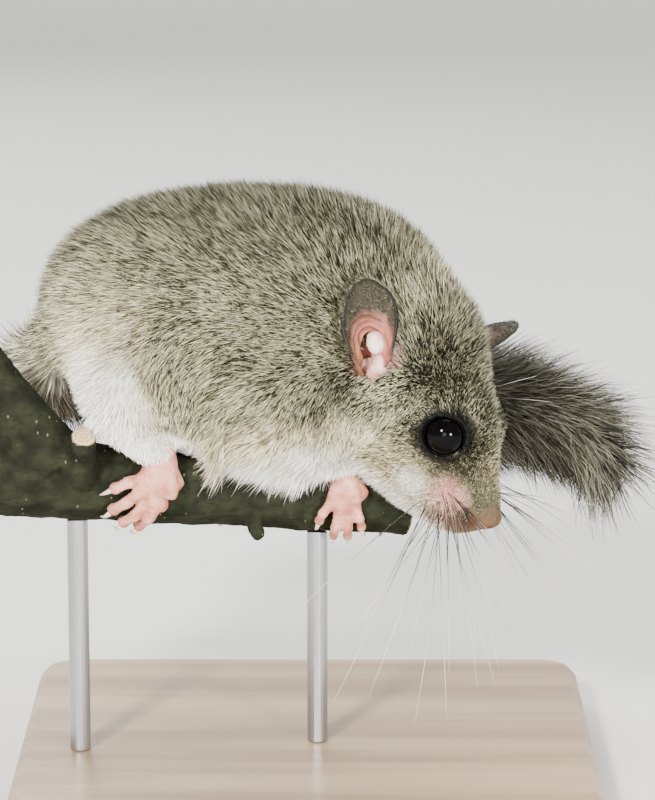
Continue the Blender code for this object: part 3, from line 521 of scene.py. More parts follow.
def smoothed(mesh, factor, rounds, weights=None):
    """Moves each point towards the middle of its neighbours, by its own weight."""
    a, b = read(mesh.edges, "vertices", 2, np.int32).T
    count = np.bincount(a, minlength=len(mesh.vertices)) + np.bincount(b, minlength=len(mesh.vertices))
    places = places_of(mesh)
    share = factor if weights is None else factor * weights[:, None]
    for _ in range(rounds):
        sums = [np.bincount(a, row[b], len(row)) + np.bincount(b, row[a], len(row)) for row in places.T]
        places += (np.stack(sums, 1) / np.maximum(count, 1)[:, None] - places) * share
    set_places(mesh, places)


def foot_distance(points):
    """How far points lie over the middle of the nearest foot."""
    return np.min([np.linalg.norm(points - node_middle(foot), axis=1) for foot in FEET], axis=0)


def on_head_share(points):
    """1 on the head, 0 on the trunk and legs."""
    forward, _, up = head_places(points)
    return ramp(forward, -27, -17) * ramp(up, -27, -21)


def on_tail_share(points):
    """1 on the tail, 0 off it, and each point's share of the tail's length."""
    along, away = tail_places(points)
    return (1 - ramp(away, 5.0, 8.0)) * ramp(along, 0.03, 0.12), along


def coat_length(points):
    """The hair's length at places on the skin."""
    forward = head_places(points)[0]
    design = points - BODY
    trunk = TRUNK_HAIR + (BELLY_HAIR - TRUNK_HAIR) * ramp(-design[:, 2], 2, 12)
    feet = foot_distance(points)
    shank = np.interp(feet, [4.0, 9.0, 14.0, 26.0], [0.9, 1.2, SHANK_HAIR, TRUNK_HAIR])
    wrist = np.interp(feet, [4.0, 7.0, 11.0], [0.9, 3.0, TRUNK_HAIR])
    trunk = np.minimum(trunk, np.where(design[:, 0] < -20, shank, wrist))
    head = np.interp(forward, *np.transpose(HEAD_HAIR))
    for eye in EYES.values():
        head = head * (1 - 0.55 * near(points, eye, 9.0))
    for ear in EARS:
        head = head * (1 - 0.35 * near(points, on_head(*EAR_PLACES[ear][0]), 11.0))
    share = on_head_share(points)
    length = trunk * (1 - share) + head * share
    on_tail, along = on_tail_share(points)
    size = np.interp(along, BRUSH_SHARES, BRUSH_HEIGHTS)
    brush = TAIL_HAIR * (0.3 + 0.7 * size / 12) * (1 + 0.45 * ramp(along, 0.8, 1.0))
    return length * (1 - on_tail) + on_tail * brush


def body_skin():
    """One closed skin under the coat, from the solids' own shape, with the tail's core fused on."""
    body = joined("skin", [merged_solids(FLESH, SKIN_SWELL), tail_core()])
    fuse(body, SKIN_VOXEL)
    mesh = body.data
    length = coat_length(places_of(mesh))
    smoothed(mesh, 0.5, 40, ramp(length, 2.0, 6.0))
    smoothed(mesh, 0.5, 5)
    places = places_of(mesh)
    on_tail, _ = on_tail_share(places)
    depth = length * DEPTH_SHARE * (1 - on_tail) + SKIN_SWELL * (1 - on_tail)
    set_places(mesh, places - normals_of(mesh) * depth[:, None])
    smoothed(mesh, 0.5, 6, ramp(length, 0.6, 3.0))
    finer_muzzle(mesh)
    shape_face(mesh)
    set_values(mesh, "zone", np.full(len(mesh.vertices), BODY_ZONE))
    return body


def finer_muzzle(mesh):
    """Splits the faces round the nose, the mouth and the eyes."""
    places = places_of(mesh)
    forward, right, up = head_places(places)
    wanted = (forward > 5.5) & (np.abs(right) < 10.5) & (up > -19) & (up < 5)
    for eye in EYES.values():
        wanted |= np.linalg.norm(places - eye, axis=1) < EYE_RADIUS + 2.5
    work = bmesh.new()
    work.from_mesh(mesh)
    work.verts.ensure_lookup_table()
    edges = [e for e in work.edges if wanted[e.verts[0].index] and wanted[e.verts[1].index]]
    bmesh.ops.subdivide_edges(work, edges=edges, cuts=1, use_grid_fill=True)
    work.to_mesh(mesh)
    work.free()
    smoothed(mesh, 0.4, 2)


def line_gap(points, line):
    """Each point's distance from a line of points, and how far along the line it is nearest."""
    line = np.asarray(line, float)
    best = np.full(len(points), 1e9)
    share = np.zeros(len(points))
    for k, (a, b) in enumerate(zip(line, line[1:])):
        step = b - a
        t = np.clip((points - a) @ step / (step @ step), 0, 1)
        gap = np.linalg.norm(points - (a + t[:, None] * step), axis=1)
        closer = gap < best
        best[closer] = gap[closer]
        share[closer] = (k + t[closer]) / (len(line) - 1)
    return best, share


def mouth_line(tree):
    """The line between the lips, on the skin: from its middle under the nose to each corner."""
    start = on_head(7.0, 0, -9.2)
    sides = []
    for side in (1, -1):
        line = []
        for share in np.linspace(0, 1, 14):
            turn = math.radians(MOUTH_TURN) * share
            drop = 0.05 + 0.12 * share * share
            way = np.array([math.cos(turn), side * math.sin(turn), -drop]) @ HEAD_AXES
            hit = tree.ray_cast(Vector(start * MM), Vector(way))[0]
            if hit is not None:
                line.append(np.array(hit) / MM)
        sides.append(line)
    return sides


def shape_face(mesh):
    """A longer nose tip, nostrils, the groove under the nose, and the mouth between its lips. The nostrils
    and the line between the lips are darkened as painted shade.
    """
    places = places_of(mesh)
    forward, _, up = head_places(places)
    reach = ramp(forward, 10.0, 17.5) * (1 - ramp(-up, 7.5, 11.0))
    places += HEAD_AXES[0] * (NOSE_REACH * reach)[:, None]
    set_places(mesh, places)
    tree = surface_of(mesh)
    normals = normals_of(mesh)

    def on_skin(rows):
        return [np.array(tree.find_nearest(Vector(on_head(*row) * MM))[0]) / MM for row in rows]

    push = np.zeros(len(places))
    # Painted shade: this value darkens the skin in the nostrils and between the lips.
    hollow_shade = np.zeros(len(places))
    for side in (1, -1):
        nostril = on_skin([(15.3, 6.0 * side, -3.0), (16.4, 5.1 * side, -3.9), (17.6, 3.8 * side, -4.7)])
        gap, share = line_gap(places, nostril)
        push -= (1.9 - 1.1 * share) * bell(gap, 0.8)
        push += 0.4 * bell(gap - 1.6, 0.6) * (1 - ramp(share, 0.7, 1.0))
        hollow_shade = np.maximum(hollow_shade, bell(gap, 0.85, 4) * (1 - 0.6 * share))
    groove, _ = line_gap(places, on_skin([(20.0, 0, -4.6), (18.6, 0, -6.6), (17.2, 0, -8.8)]))
    push -= 0.5 * bell(groove, 0.45)
    for line in mouth_line(tree):
        gap, share = line_gap(places, line)
        fade = 1 - ramp(share, 0.85, 1.0)
        push -= 0.85 * bell(gap, 0.45) * fade
        push += 0.3 * bell(gap - 1.05, 0.5) * fade
        hollow_shade = np.maximum(hollow_shade, 0.7 * bell(gap, 0.4) * fade)
    set_places(mesh, places + normals * push[:, None])
    set_values(mesh, "hollow_shade", hollow_shade)
    smoothed(mesh, 0.3, 1)


# Eyelids, ears and feet, which join the skin


def eye_axis(side):
    return unit(np.array([0.24, 0.93 if side == "right" else -0.93, 0.26]) @ HEAD_AXES)


def ring_axes(axis):
    """Two directions across an axis."""
    first = unit(np.cross(axis, (0.0, 0.0, 1.0)))
    return first, np.cross(axis, first)


def eyelids():
    """A thin dark lid round each eye, almond shaped, that lies on the eyeball."""
    made = []
    turns = full_turn(72)
    section = full_turn(12)[None, :, None]
    tilt = np.arcsin((EYE_OPENING - 0.14 * np.cos(2 * turns)) / EYE_RADIUS)[:, None]
    wide = 1 + 0.1 * np.sin(3 * turns + 1.0)
    for side, centre in EYES.items():
        axis = eye_axis(side)
        first, second = ring_axes(axis)
        around = first * np.cos(turns)[:, None] + second * np.sin(turns)[:, None]
        line = centre + (axis * np.cos(tilt) + around * np.sin(tilt)) * (EYE_RADIUS + 0.1)
        out = unit(line - centre)
        aside = unit(around - out * (around * out).sum(1, keepdims=True))
        rise = out[:, None] * (np.sin(section) * LID_RADIUS * 0.75 + 0.12)
        spread = aside[:, None] * (1.3 + 2.0 * np.cos(section)) * LID_RADIUS * wide[:, None, None]
        sheet = line[:, None] + (rise + spread)
        mesh = grid_mesh("lid", np.concatenate([sheet, sheet[:1]]))
        set_values(mesh, "zone", np.full(len(mesh.vertices), LID_ZONE))
        made.append(new_object("lid", mesh))
    return made


def ear_axes(name):
    """Directions across, out of and along an ear."""
    _, tip, opening = EAR_PLACES[name]
    along = unit(np.array(tip) @ HEAD_AXES)
    front = np.array(opening) @ HEAD_AXES
    front = unit(front - along * (front @ along))
    return np.cross(front, along), front, along


def ear_turn(name):
    """1 or -1: on which side of an ear's middle its hind edge lies."""
    return 1 if name == "ear_right" else -1


def ear_place(name, back, out, along):
    """A place by an ear, in mm from its foot: towards its hind edge, out of its opening, and along it."""
    local = np.array([back * ear_turn(name), out, along])
    return on_head(*EAR_PLACES[name][0]) + local @ np.array(ear_axes(name))


def ear_points(name, u, v, depth):
    """Places on an ear: u along it, v across it from -1 to 1, and depth out through its back."""
    wide, front, along = ear_axes(name)
    shares, widths, angles = np.transpose(EAR_OUTLINE)
    half = np.interp(u, shares, widths) * EAR_WIDTH / 2
    limit = np.radians(np.interp(u, shares, angles))
    radius = half / np.sin(np.minimum(limit, math.pi / 2))
    sink = EAR_SINK * np.maximum(0.0, 0.24 - u) / 0.24
    turn = (limit * v)[..., None]
    out = wide * np.sin(turn) - front * np.cos(turn)
    start = on_head(*EAR_PLACES[name][0])
    behind = np.interp(u, *np.transpose(EAR_BACK))
    axis = start + along * (u * EAR_LENGTH)[..., None] + front * (radius - behind - sink)[..., None]
    axis = axis - wide * (EAR_LEANS[name] * ramp(u, 0.25, 0.82))[..., None]
    return axis + out * (radius + depth)[..., None]


# Folds inside an ear and the opening of its canal: places towards the hind edge and along the ear, and the
# strength of each fold.
EAR_FOLDS = [
    ([(3.6, 9.0), (2.1, 11.4), (-0.7, 12.0), (-3.8, 10.3)], 1.0),
    ([(3.0, 11.6), (0.6, 13.2), (-2.4, 12.9)], 0.4),
    ([(2.6, 7.0), (2.0, 9.6), (0.0, 10.9), (-2.2, 10.6), (-3.4, 9.0)], 0.55),
    ([(2.0, 7.2), (1.3, 9.3), (-0.8, 9.9), (-2.7, 8.6)], 1.0),
    ([(-3.0, 8.8), (-3.3, 6.8), (-3.0, 4.6)], 0.5),
    ([(2.9, 4.6), (2.8, 7.4), (2.6, 9.6)], 0.7),
    ([(1.4, 5.6), (1.2, 7.6), (-0.2, 8.9), (-1.7, 9.0)], 0.8),
]
EAR_CANAL = [(-1.3, 8.6), (0.1, 7.8), (0.6, 6.4), (0.3, 4.4), (0.1, 2.6)]
# The flap before the canal, the lobe under it and the curl between them: place, then radii across, out and
# along, then how pale it is. The paleness is partly the skin's own and partly a painted highlight, brightest
# at the middle of each.
EAR_LOBES = [
    ((-1.15, 0.2, 7.2), (1.5, 1.1, 2.3), 1.0),
    ((-1.7, -0.5, 4.9), (1.4, 0.8, 2.2), 0.0),
    ((-1.7, -0.2, 3.0), (1.35, 1.0, 2.4), 0.55),
    ((-0.5, -0.4, 1.3), (1.6, 0.9, 1.4), 0.3),
]


def shell_corners(rows, columns):
    """The corners of all quads of a shell with an inner and an outer side, joined along their edges."""
    count = rows * columns
    faces = []
    for i in range(rows - 1):
        for j in range(columns - 1):
            a = i * columns + j
            b = a + columns
            faces.append([a, a + 1, b + 1, b])
            faces.append([count + a, count + b, count + b + 1, count + a + 1])
        for j in (0, columns - 1):
            a = i * columns + j
            quad = [a, a + columns, count + a + columns, count + a]
            faces.append(quad if j == 0 else quad[::-1])
    for i in (0, rows - 1):
        for j in range(columns - 1):
            a = i * columns + j
            quad = [a, count + a, count + a + 1, a + 1]
            faces.append(quad if i == 0 else quad[::-1])
    return [c for face in faces for c in face]


def ear_shell(name):
    """A thin cup with a thin rim, folds round the canal, and the canal's opening."""
    rows, columns = EAR_GRID
    v_line = np.sin(np.linspace(-1, 1, columns) * math.pi / 2)
    u_line = -0.02 + 1.02 * np.sin(np.linspace(0, 1, rows) * math.pi / 2) ** 0.9
    u, v = np.meshgrid(u_line, v_line, indexing="ij")
    edge = np.maximum(ramp(np.abs(v), 0.85, 1.0), ramp(u, 0.93, 1.0)).ravel()
    wide, _, along = ear_axes(name)
    flat = ear_points(name, u, v, 0.0) - on_head(*EAR_PLACES[name][0])
    back, up = (flat @ wide).ravel() * ear_turn(name), (flat @ along).ravel()
    spots = np.stack([back, up], 1)
    depth = np.zeros(rows * columns)
    fold_shade = np.zeros(rows * columns)
    for line, strength in EAR_FOLDS:
        gap, share = line_gap(spots, curve_through(line, 24))
        fade = strength * ramp(share, 0.0, 0.12) * (1 - ramp(share, 0.88, 1.0))
        depth += fade * (0.16 * bell(gap, 0.22) - 0.34 * bell(gap - 0.55, 0.3))
        # Painted shade: the groove along each fold is darkened.
        fold_shade = np.maximum(fold_shade, fade * bell(gap, 0.3))
    gap, share = line_gap(spots, curve_through(EAR_CANAL, 24))
    canal = bell(gap, 0.5 + 0.4 * share, 4) * ramp(share, 0.0, 0.1)
    depth = depth * (1 - canal) + 1.3 * canal
    depth *= 1 - edge
    inner = ear_points(name, u, v, (depth - 0.12 * edge).reshape(rows, columns))
    back_depth = np.maximum(EAR_THICKNESS * (0.65 + 0.35 * edge), depth + 0.25)
    outer = ear_points(name, u, v, back_depth.reshape(rows, columns))
    points = np.concatenate([inner.reshape(-1, 3), outer.reshape(-1, 3)])
    corners = shell_corners(rows, columns)
    mesh = array_mesh("ear", points, corners, list(range(0, len(corners), 4)))
    wander = 0.5 * ripple(flat.reshape(-1, 3), 2.2, 61)
    pink = 1 - ramp(up + 0.10 * (back + 1) ** 2 + wander, 9.8, 13.6)
    pink = pink * (1 - ramp(back + 0.6 * wander, 2.3, 3.7))
    pink = pink * (1 - 0.85 * ramp(-back + 0.4 * wander, 3.7, 4.7))
    amber = ramp(back, 0.6, 2.2) * (1 - ramp(up, 6.5, 10.0))
    dark = np.maximum(ramp(np.abs(v), 0.93, 1.0), ramp(u, 0.96, 1.0)).ravel() * ramp(up, 3.0, 7.0)
    none = np.zeros(rows * columns)
    marks = {
        "inside": (pink, 0.12 * pink),
        # Painted shade: the canal's opening is darkened.
        "hollow_shade": (canal, none),
        "fold_shade": (fold_shade, none),
        "amber": (amber, amber),
        "rim": (dark, dark),
    }
    for key, both in marks.items():
        set_values(mesh, key, np.concatenate(both))
    return new_object("ear", mesh)


def lump(centre, radii, axes):
    """An ellipsoid with its radii along the given axes."""
    work = bmesh.new()
    bmesh.ops.create_icosphere(work, subdivisions=3, radius=1.0)
    mesh = mesh_from(work, "lump")
    balls = np.array([v.co for v in mesh.vertices])
    set_places(mesh, np.asarray(centre) + (balls * np.asarray(radii)) @ np.asarray(axes))
    smooth_shaded(mesh)
    return new_object("lump", mesh)


def ears():
    """Each ear's cup, and the flap, lobe and curl before its canal as one form."""
    made = []
    for name in EARS:
        axes = ear_axes(name)
        lobes = [(ear_place(name, *place), radii, share) for place, radii, share in EAR_LOBES]
        flap = joined("flap", [lump(place, radii, axes) for place, radii, _ in lobes])
        fuse(flap, FLAP_VOXEL)
        mesh = flap.data
        smoothed(mesh, 0.5, 14)
        places = places_of(mesh)
        swell = 0.16 + 0.12 * ripple(places, 1.6, 62)
        set_places(mesh, places + normals_of(mesh) * swell[:, None])
        # Pale skin with a painted highlight, palest at the middle of each lump.
        pale = [share * near(places, place, 1.1 * max(radii)) ** 0.5 for place, radii, share in lobes]
        set_values(mesh, "inside", np.ones(len(places)))
        set_values(mesh, "flap", np.max(pale, axis=0))
        made += [flap, ear_shell(name)]
    for each in made:
        inside = read(each.data.attributes["inside"].data, "value", 1)[:, 0]
        set_values(each.data, "zone", EAR_ZONE + 0.45 * ramp(inside, 0.02, 0.2))
    return made


def branch_at(x):
    """Points on the branch's middle line, and its radius there, at places along X."""
    along = (x - BRANCH_START[0]) / (BRANCH_END[0] - BRANCH_START[0])
    line = BRANCH_START + (BRANCH_END - BRANCH_START) * np.asarray(along)[..., None]
    return line, BRANCH_RADII[0] + (BRANCH_RADII[1] - BRANCH_RADII[0]) * along


def on_bark(row):
    """A point that stands at a height over the bark. The angle is 0 on top and 90 on the near side."""
    x, angle, height = row
    line, radius = branch_at(x)
    lean = math.radians(angle)
    away = np.array([0.0, -math.sin(lean), math.cos(lean)])
    return BODY + np.array([x, line[1], line[2]]) + away * (radius + height)


def tube(stations, count, sides, up):
    """A closed tube with rounded ends through stations, each a place, a half width and a half height."""
    rows = curve_through([(*place, wide, high) for place, wide, high in stations], count)
    second, second_last = rows[0] * 0.35 + rows[1] * 0.65, rows[-1] * 0.35 + rows[-2] * 0.65
    line = np.vstack([rows[0], second, rows[1:-1], second_last, rows[-1]])
    line[[0, -1], 3:] *= 0.45
    line[[1, -2], 3:] *= 0.9
    sheet = tube_sheet(line[:, :3], line[:, 3], sides, up, line[:, 4])
    return new_object("tube", grid_mesh("tube", sheet, caps=True))


def digit_frame(digit):
    """A digit's direction at its tip, and the way up from the bark there."""
    step = unit(on_bark(digit[2]) - on_bark(digit[1]))
    x, angle, _ = digit[2]
    return step, on_bark((x, angle, 2.0)) - on_bark((x, angle, 1.0))


def foot_skin(name):
    """A foot with its digits, joints and pads in one surface, and its ankle reaching into the leg."""
    form = FOOT_FORMS[name]
    size = form["size"]
    up = (0.0, -1.0 if form["ankle"][1] > 0 else 1.0, 0.5)
    ankle, heel = on_bark(form["ankle"]), on_bark(form["heel"])
    leg = node_middle(name.replace("foot", "leg"))
    rise = ankle + unit(leg - ankle) * 5.0
    stations = [(rise, 2.4 * size, 2.3 * size), (ankle, 2.9 * size, 2.5 * size)]
    stations += [(on_bark(r[:3]), r[3], r[4] + 0.3) for r in form["sole"]]
    pieces = [tube(stations, 16, 24, up)]
    pieces.append(tube([(ankle, 2.2 * size, 2.0 * size), (heel, 2.1 * size, 1.9 * size)], 8, 16, up))
    digits = [[on_bark(row) for row in digit] for digit in form["digits"]]
    last = form["sole"][-1]
    ball = frame_from(unit(digits[-1][0] - digits[0][0]), up)
    pieces.append(lump(on_bark(last[:3]), [last[3] * 0.95, 1.7 * size, 2.2 * size], ball))
    for digit, (root, knuckle, tip) in zip(form["digits"], digits):
        step, out = digit_frame(digit)
        knobs = (
            (root, 1.55),
            (root * 0.5 + knuckle * 0.5, 1.25),
            (knuckle, 1.28),
            (knuckle * 0.45 + tip * 0.55, 1.08),
            (tip, 1.28),
            (tip + step * 1.0 * size, 0.8),
        )
        pieces.append(tube([(p, r * size, r * size * 0.92) for p, r in knobs], 24, 14, up))
        pad = tip - out * 0.35 * size
        pieces.append(lump(pad, [1.35 * size, 0.95 * size, 1.25 * size], frame_from(step, out)))
    foot = joined(name + "_skin", pieces)
    fuse(foot, FOOT_VOXEL)
    mesh = foot.data
    smoothed(mesh, 0.5, 8)
    clear_of_bark(mesh)
    places = places_of(mesh)
    creases = np.zeros(len(places))
    for root, knuckle, tip in digits:
        for share in (0.25, 0.5, 0.75):
            for a, b in ((root, knuckle), (knuckle, tip)):
                offset = places - (a + (b - a) * share)
                close = np.linalg.norm(offset, axis=1) < 2.2 * size
                creases -= 0.07 * bell(offset @ unit(b - a), 0.2) * close
    set_places(mesh, places + normals_of(mesh) * creases[:, None])
    set_values(mesh, "zone", np.full(len(places), FOOT_ZONE))
    return foot


def frame_from(first, up):
    """Three directions: the first as given, then as near up as they can be."""
    first, up = unit(first), np.asarray(up, float)
    second = unit(up - first * (first @ up))
    return np.array([first, second, np.cross(first, second)])


def clear_of_bark(mesh):
    """Keeps a surface from sinking into the branch."""
    places = places_of(mesh)
    local = places - BODY
    line, radius = branch_at(local[:, 0])
    away = local - line
    away[:, 0] = 0
    gap = np.linalg.norm(away, axis=1)
    lift = np.maximum(radius + 0.12 - gap, 0)
    set_places(mesh, places + away / np.maximum(gap, 1e-6)[:, None] * lift[:, None])


def make_claws(material):
    """A curved pointed claw on each digit."""
    pieces = []
    for form in FOOT_FORMS.values():
        size = form["size"]
        for digit in form["digits"]:
            step, out = digit_frame(digit)
            root = on_bark(digit[2]) + step * 0.9 * size + out * 0.55 * size
            bend, tip = root + step * 1.3 * size + out * 0.1, root + step * 2.5 * size - out * 0.9
            line = curve_through([root, bend, tip], 10)
            sheet = tube_sheet(line, np.linspace(0.55, 0.07, 10) * size, 10, out)
            pieces.append(new_object("claw", grid_mesh("claw", sheet, caps=True)))
    claws = joined("claws", pieces)
    claws.data.materials.append(material)
    return claws


def make_skin(fur_skin, ear_skin, foot_finish, lid_skin):
    """The whole skin: the body's, with lids, ears and feet joined to it."""
    pieces = [(body_skin(), fur_skin)]
    pieces += [(each, lid_skin) for each in eyelids()]
    pieces += [(each, ear_skin) for each in ears()]
    pieces += [(foot_skin(name), foot_finish) for name in FEET]
    for each, material in pieces:
        each.data.materials.append(material)
    skin = joined("skin", [each for each, _ in pieces])
    smooth_shaded(skin.data)
    return skin


def unwrap(each):
    """Lays the skin's own surface out flat, for the places of the coat's colours."""
    select([each])
    each.data.uv_layers.new(name="OFBake")
    bpy.ops.object.mode_set(mode="EDIT")
    bpy.ops.mesh.select_all(action="SELECT")
    bpy.ops.uv.smart_project(angle_limit=math.radians(66), island_margin=0.002)
    bpy.ops.object.mode_set(mode="OBJECT")


# Marks of the coat, which the skin below shares


def coat_marks(points):
    """The share of each of the coat's colours, and how bare and thin it is, at places on the animal. Some
    marks carry painted shade, and one a painted highlight.
    """
    forward, _, up = head_places(points)
    x, y, z = (points - BODY).T
    near_side = 1 - ramp(y, -4, 4)
    head = on_head_share(points)
    wander = 1.3 * ripple(points, 7.0, 3) + 0.6 * ripple(points, 2.6, 4)
    edge = np.interp(x, [-50, -32, -20, -8, 2, 12], [3.0, -5.0, -1.0, 0.5, 0.0, -4.0])
    edge = edge + 0.8 * wander
    white_and_nose_highlight = 1 - ramp(z, edge - 10.0, edge - 4.0)
    cream = 1 - ramp(z, edge - 2.5, edge + 3.0)
    haunch = (1 - ramp(x + 0.7 * wander, -37.0, -32.8)) * (1 - ramp(z + wander, 8.0, 18.0))
    haunch = haunch * (1 - ramp(-x, 42, 47) * ramp(z + wander, 5.0, 11.0))
    white_and_nose_highlight = np.maximum(white_and_nose_highlight, haunch * (0.35 + 0.65 * near_side))
    rump = (1 - ramp(x + 0.7 * wander, -36.0, -31.0)) * (1 - ramp(z + wander, 13.0, 28.0))
    rump = rump * (1 - ramp(-x, 44, 50) * ramp(z + wander, 8.0, 14.0))
    cream = np.maximum(cream, rump * (0.35 + 0.65 * near_side))
    feet = foot_distance(points)
    white_and_nose_highlight = np.maximum(white_and_nose_highlight, (1 - ramp(feet, 13.0, 17.0)) * (1 - ramp(x, -24.0, -16.0)))
    white_and_nose_highlight = np.maximum(white_and_nose_highlight, 1 - ramp(feet, 7.0, 11.0))
    snout = head * ramp(forward, -13.0, -4.0)
    drop = up - 0.35 * forward + 0.7 * wander
    white_and_nose_highlight = white_and_nose_highlight * (1 - snout) + (1 - ramp(drop, -16.5, -12.0)) * snout
    cheek = (1 - ramp(drop, -9.5, -1.5)) * (1 - 0.8 * ramp(forward, 11.0, 15.0))
    cream = np.maximum(cream * (1 - snout) + cheek * snout, white_and_nose_highlight)
    cream = np.maximum(cream, 0.55 * near(points, on_head(11.0, 0.0, 2.0), (9.0, 7.0, 6.0), HEAD_AXES))
    dark_fur_and_shade = [0.8 * near(points, on_head(-16.0, 18.0 * s, -8.0), 6.5) for s in (1, -1)]
    # Painted shade: a dark band on the near side only, behind the shoulder.
    dark_fur_and_shade.append(0.85 * near(points, BODY + (-1.5, -19.0, 1.5), (2.4, 8.0, 6.5)))
    dark_fur_and_shade.append(0.72 * ramp(z, 19, 39) * (1 - head))
    dark_fur_and_shade.append(0.4 * head * ramp(up, 2.0, 8.0) * (1 - ramp(forward, 2.0, 9.0)))
    lash = []
    for eye in EYES.values():
        gap = np.linalg.norm(points - eye, axis=1)
        dark_fur_and_shade.append(1 - ramp(gap + 0.4 * wander, 4.4, 6.3))
        lash.append(1 - ramp(gap, 4.9, 5.7))
    rosy = np.zeros(len(points))
    for s in (1, -1):
        rosy = np.maximum(rosy, near(points, on_head(10.8, 7.0 * s, -4.4), (5.4, 4.6, 4.8), HEAD_AXES) ** 0.6)
        rosy = np.maximum(rosy, 0.5 * near(points, on_head(13.5, 5.8 * s, -7.0), 5.0) ** 0.7)
        white_and_nose_highlight = np.maximum(white_and_nose_highlight, near(points, on_head(5.6, 10.2 * s, -8.6), 4.8) ** 0.7)
    rosy = np.maximum(rosy * head, 1 - ramp(feet, 6.5, 9.5))
    by_ear = [near(points, ear_place(name, -3.7, -0.8, 3.6), 3.4) for name in EARS]
    by_ear += [near(points, ear_place(name, 0.6, -1.5, 3.0), 3.2) for name in EARS]
    in_ear = by_ear[2] + by_ear[3]
    by_ear = np.max(by_ear, axis=0) ** 0.5
    rosy = np.maximum(rosy, by_ear)
    nose = [near(points, on_head(18.4, 0, -4.0), 5.6)]
    nose += [near(points, on_head(16.4, s * 4.8, -3.9), (3.4, 3.4, 2.9), HEAD_AXES) for s in (1, -1)]
    nose = np.max(nose, axis=0) ** 0.45
    # Painted highlight: a pale spot on the tip of the nose.
    white_and_nose_highlight = np.maximum(white_and_nose_highlight, near(points, on_head(20.8, 0, -5.4), 2.6))
    lips = 0.6 * near(points, on_head(14.5, 0, -9.5), (3.5, 2.6, 2.0), HEAD_AXES)
    tail, away = tail_places(points)
    on_tail = (1 - ramp(away, 6.0, 8.0)) * ramp(tail, 0.05, 0.16)
    keep = 1 - on_tail
    return {
        "white_and_nose_highlight": white_and_nose_highlight * keep,
        "cream": cream * keep,
        "dark_fur_and_shade": np.max(dark_fur_and_shade, axis=0) * keep,
        "rosy": rosy * keep,
        "lash": np.max(lash, axis=0),
        "bare": np.maximum(nose, lips) * keep,
        "thin": np.max([0.75 * nose, lips, 0.8 * by_ear, ramp(in_ear, 0.0, 0.3)], axis=0) * keep,
        "tail": on_tail,
    }


# Lie of the coat


def bones():
    """Lines along which the coat lies, each from its start to its end, with its weight."""
    spine = [on_head(17, 0, -3), on_head(4, 0, 2), on_head(-16, 0, 4)]
    spine += [BODY + (10, -2, 16), BODY + (-14, 2, 18), BODY + (-38, 3, 18), BODY + (-52, 5, 8)]
    lines = [(a, b, 1.0) for a, b in zip(spine, spine[1:])]
    for side in (1, -1):
        cheek = [on_head(13, side * 4, -9), on_head(4, side * 8, -13), on_head(-10, side * 13, -20)]
        lines += [(a, b, 1.0) for a, b in zip(cheek, cheek[1:])]
    belly = [on_head(8, 0, -16), BODY + (8, -2, -10), BODY + (-18, 2, -14), BODY + (-40, 3, -6)]
    lines += [(a, b, 0.7) for a, b in zip(belly, belly[1:])]
    for foot, hip in zip(FEET, ((-34, -16, 2), (-30, 18, 2), (2, -12, -6), (6, 10, -6))):
        lines.append((BODY + hip, node_middle(foot), 0.5))
    return lines


def lie_of_coat(points, normals):
    """The direction in which hair lies along the skin, at places on it."""
    total = np.zeros((len(points), 3))
    for start, end, weight in bones():
        line = end - start
        share = np.clip((points - start) @ line / (line @ line), 0, 1)
        gap = np.linalg.norm(points - (start + share[:, None] * line), axis=1)
        total += unit(line) * (weight / (gap + 2.0) ** 4)[:, None]
    flow = unit(total)
    design = points - BODY
    forward = head_places(points)[0]
    neck = ramp(design[:, 0], -20, 0) * (1 - ramp(design[:, 2], 0, 16)) * (1 - ramp(forward, -8, -1))
    low = np.maximum(1 - ramp(design[:, 2], -12, 2), neck) * (1 - ramp(forward, -8, -1))
    flow = unit(flow + np.array([0, 0, -1.1]) * low[:, None])
    along, away = tail_places(points)
    tailward = tail_axes(along)[0]
    on_tail = ((1 - ramp(away, 6.0, 9.0)) * ramp(along, 0.0, 0.1))[:, None]
    droop = np.array([0, 0, -0.45]) * ramp(along, 0.6, 0.95)[:, None]
    flow = flow * (1 - on_tail) + (tailward + droop) * on_tail
    flow += 0.24 * slope(points, 14.0, 21) + 0.1 * slope(points, 4.0, 22)
    flow -= normals * (flow * normals).sum(1, keepdims=True)
    return unit(flow)


# Tufts


def skin_samples(skin):
    """Corners, normals, flat places and zones of all triangles of the skin."""
    mesh = skin.data
    mesh.calc_loop_triangles()
    triangles = read(mesh.loop_triangles, "vertices", 3, np.int32)
    loops = read(mesh.loop_triangles, "loops", 3, np.int32)
    flat = read(mesh.uv_layers["OFBake"].data, "uv", 2)
    zone = read(mesh.attributes["zone"].data, "value", 1)[:, 0]
    return places_of(mesh)[triangles], normals_of(mesh)[triangles], flat[loops], zone[triangles].max(1)


def scattered(samples, weights, count, seed):
    """Random roots on the skin: places, normals and flat places, more where the weight is high."""
    corners, normals, flats, _ = samples
    first, second, third = corners.transpose(1, 0, 2)
    area = np.linalg.norm(np.cross(second - first, third - first), axis=1) / 2
    draw = np.random.default_rng(seed)
    chance = area * weights
    chosen = draw.choice(len(area), count, p=chance / chance.sum())
    a, b = draw.random(count), draw.random(count)
    flip = a + b > 1
    a, b = np.where(flip, 1 - a, a), np.where(flip, 1 - b, b)
    mix = np.stack([1 - a - b, a, b], 1)[:, :, None]
    place, normal, flat = ((values[chosen] * mix).sum(1) for values in (corners, normals, flats))
    return place, unit(normal), flat


# How far a tuft reaches across the flat places of the colours.
TUFT_PATCH = 0.003
ROOT_DEPTH = 0.15


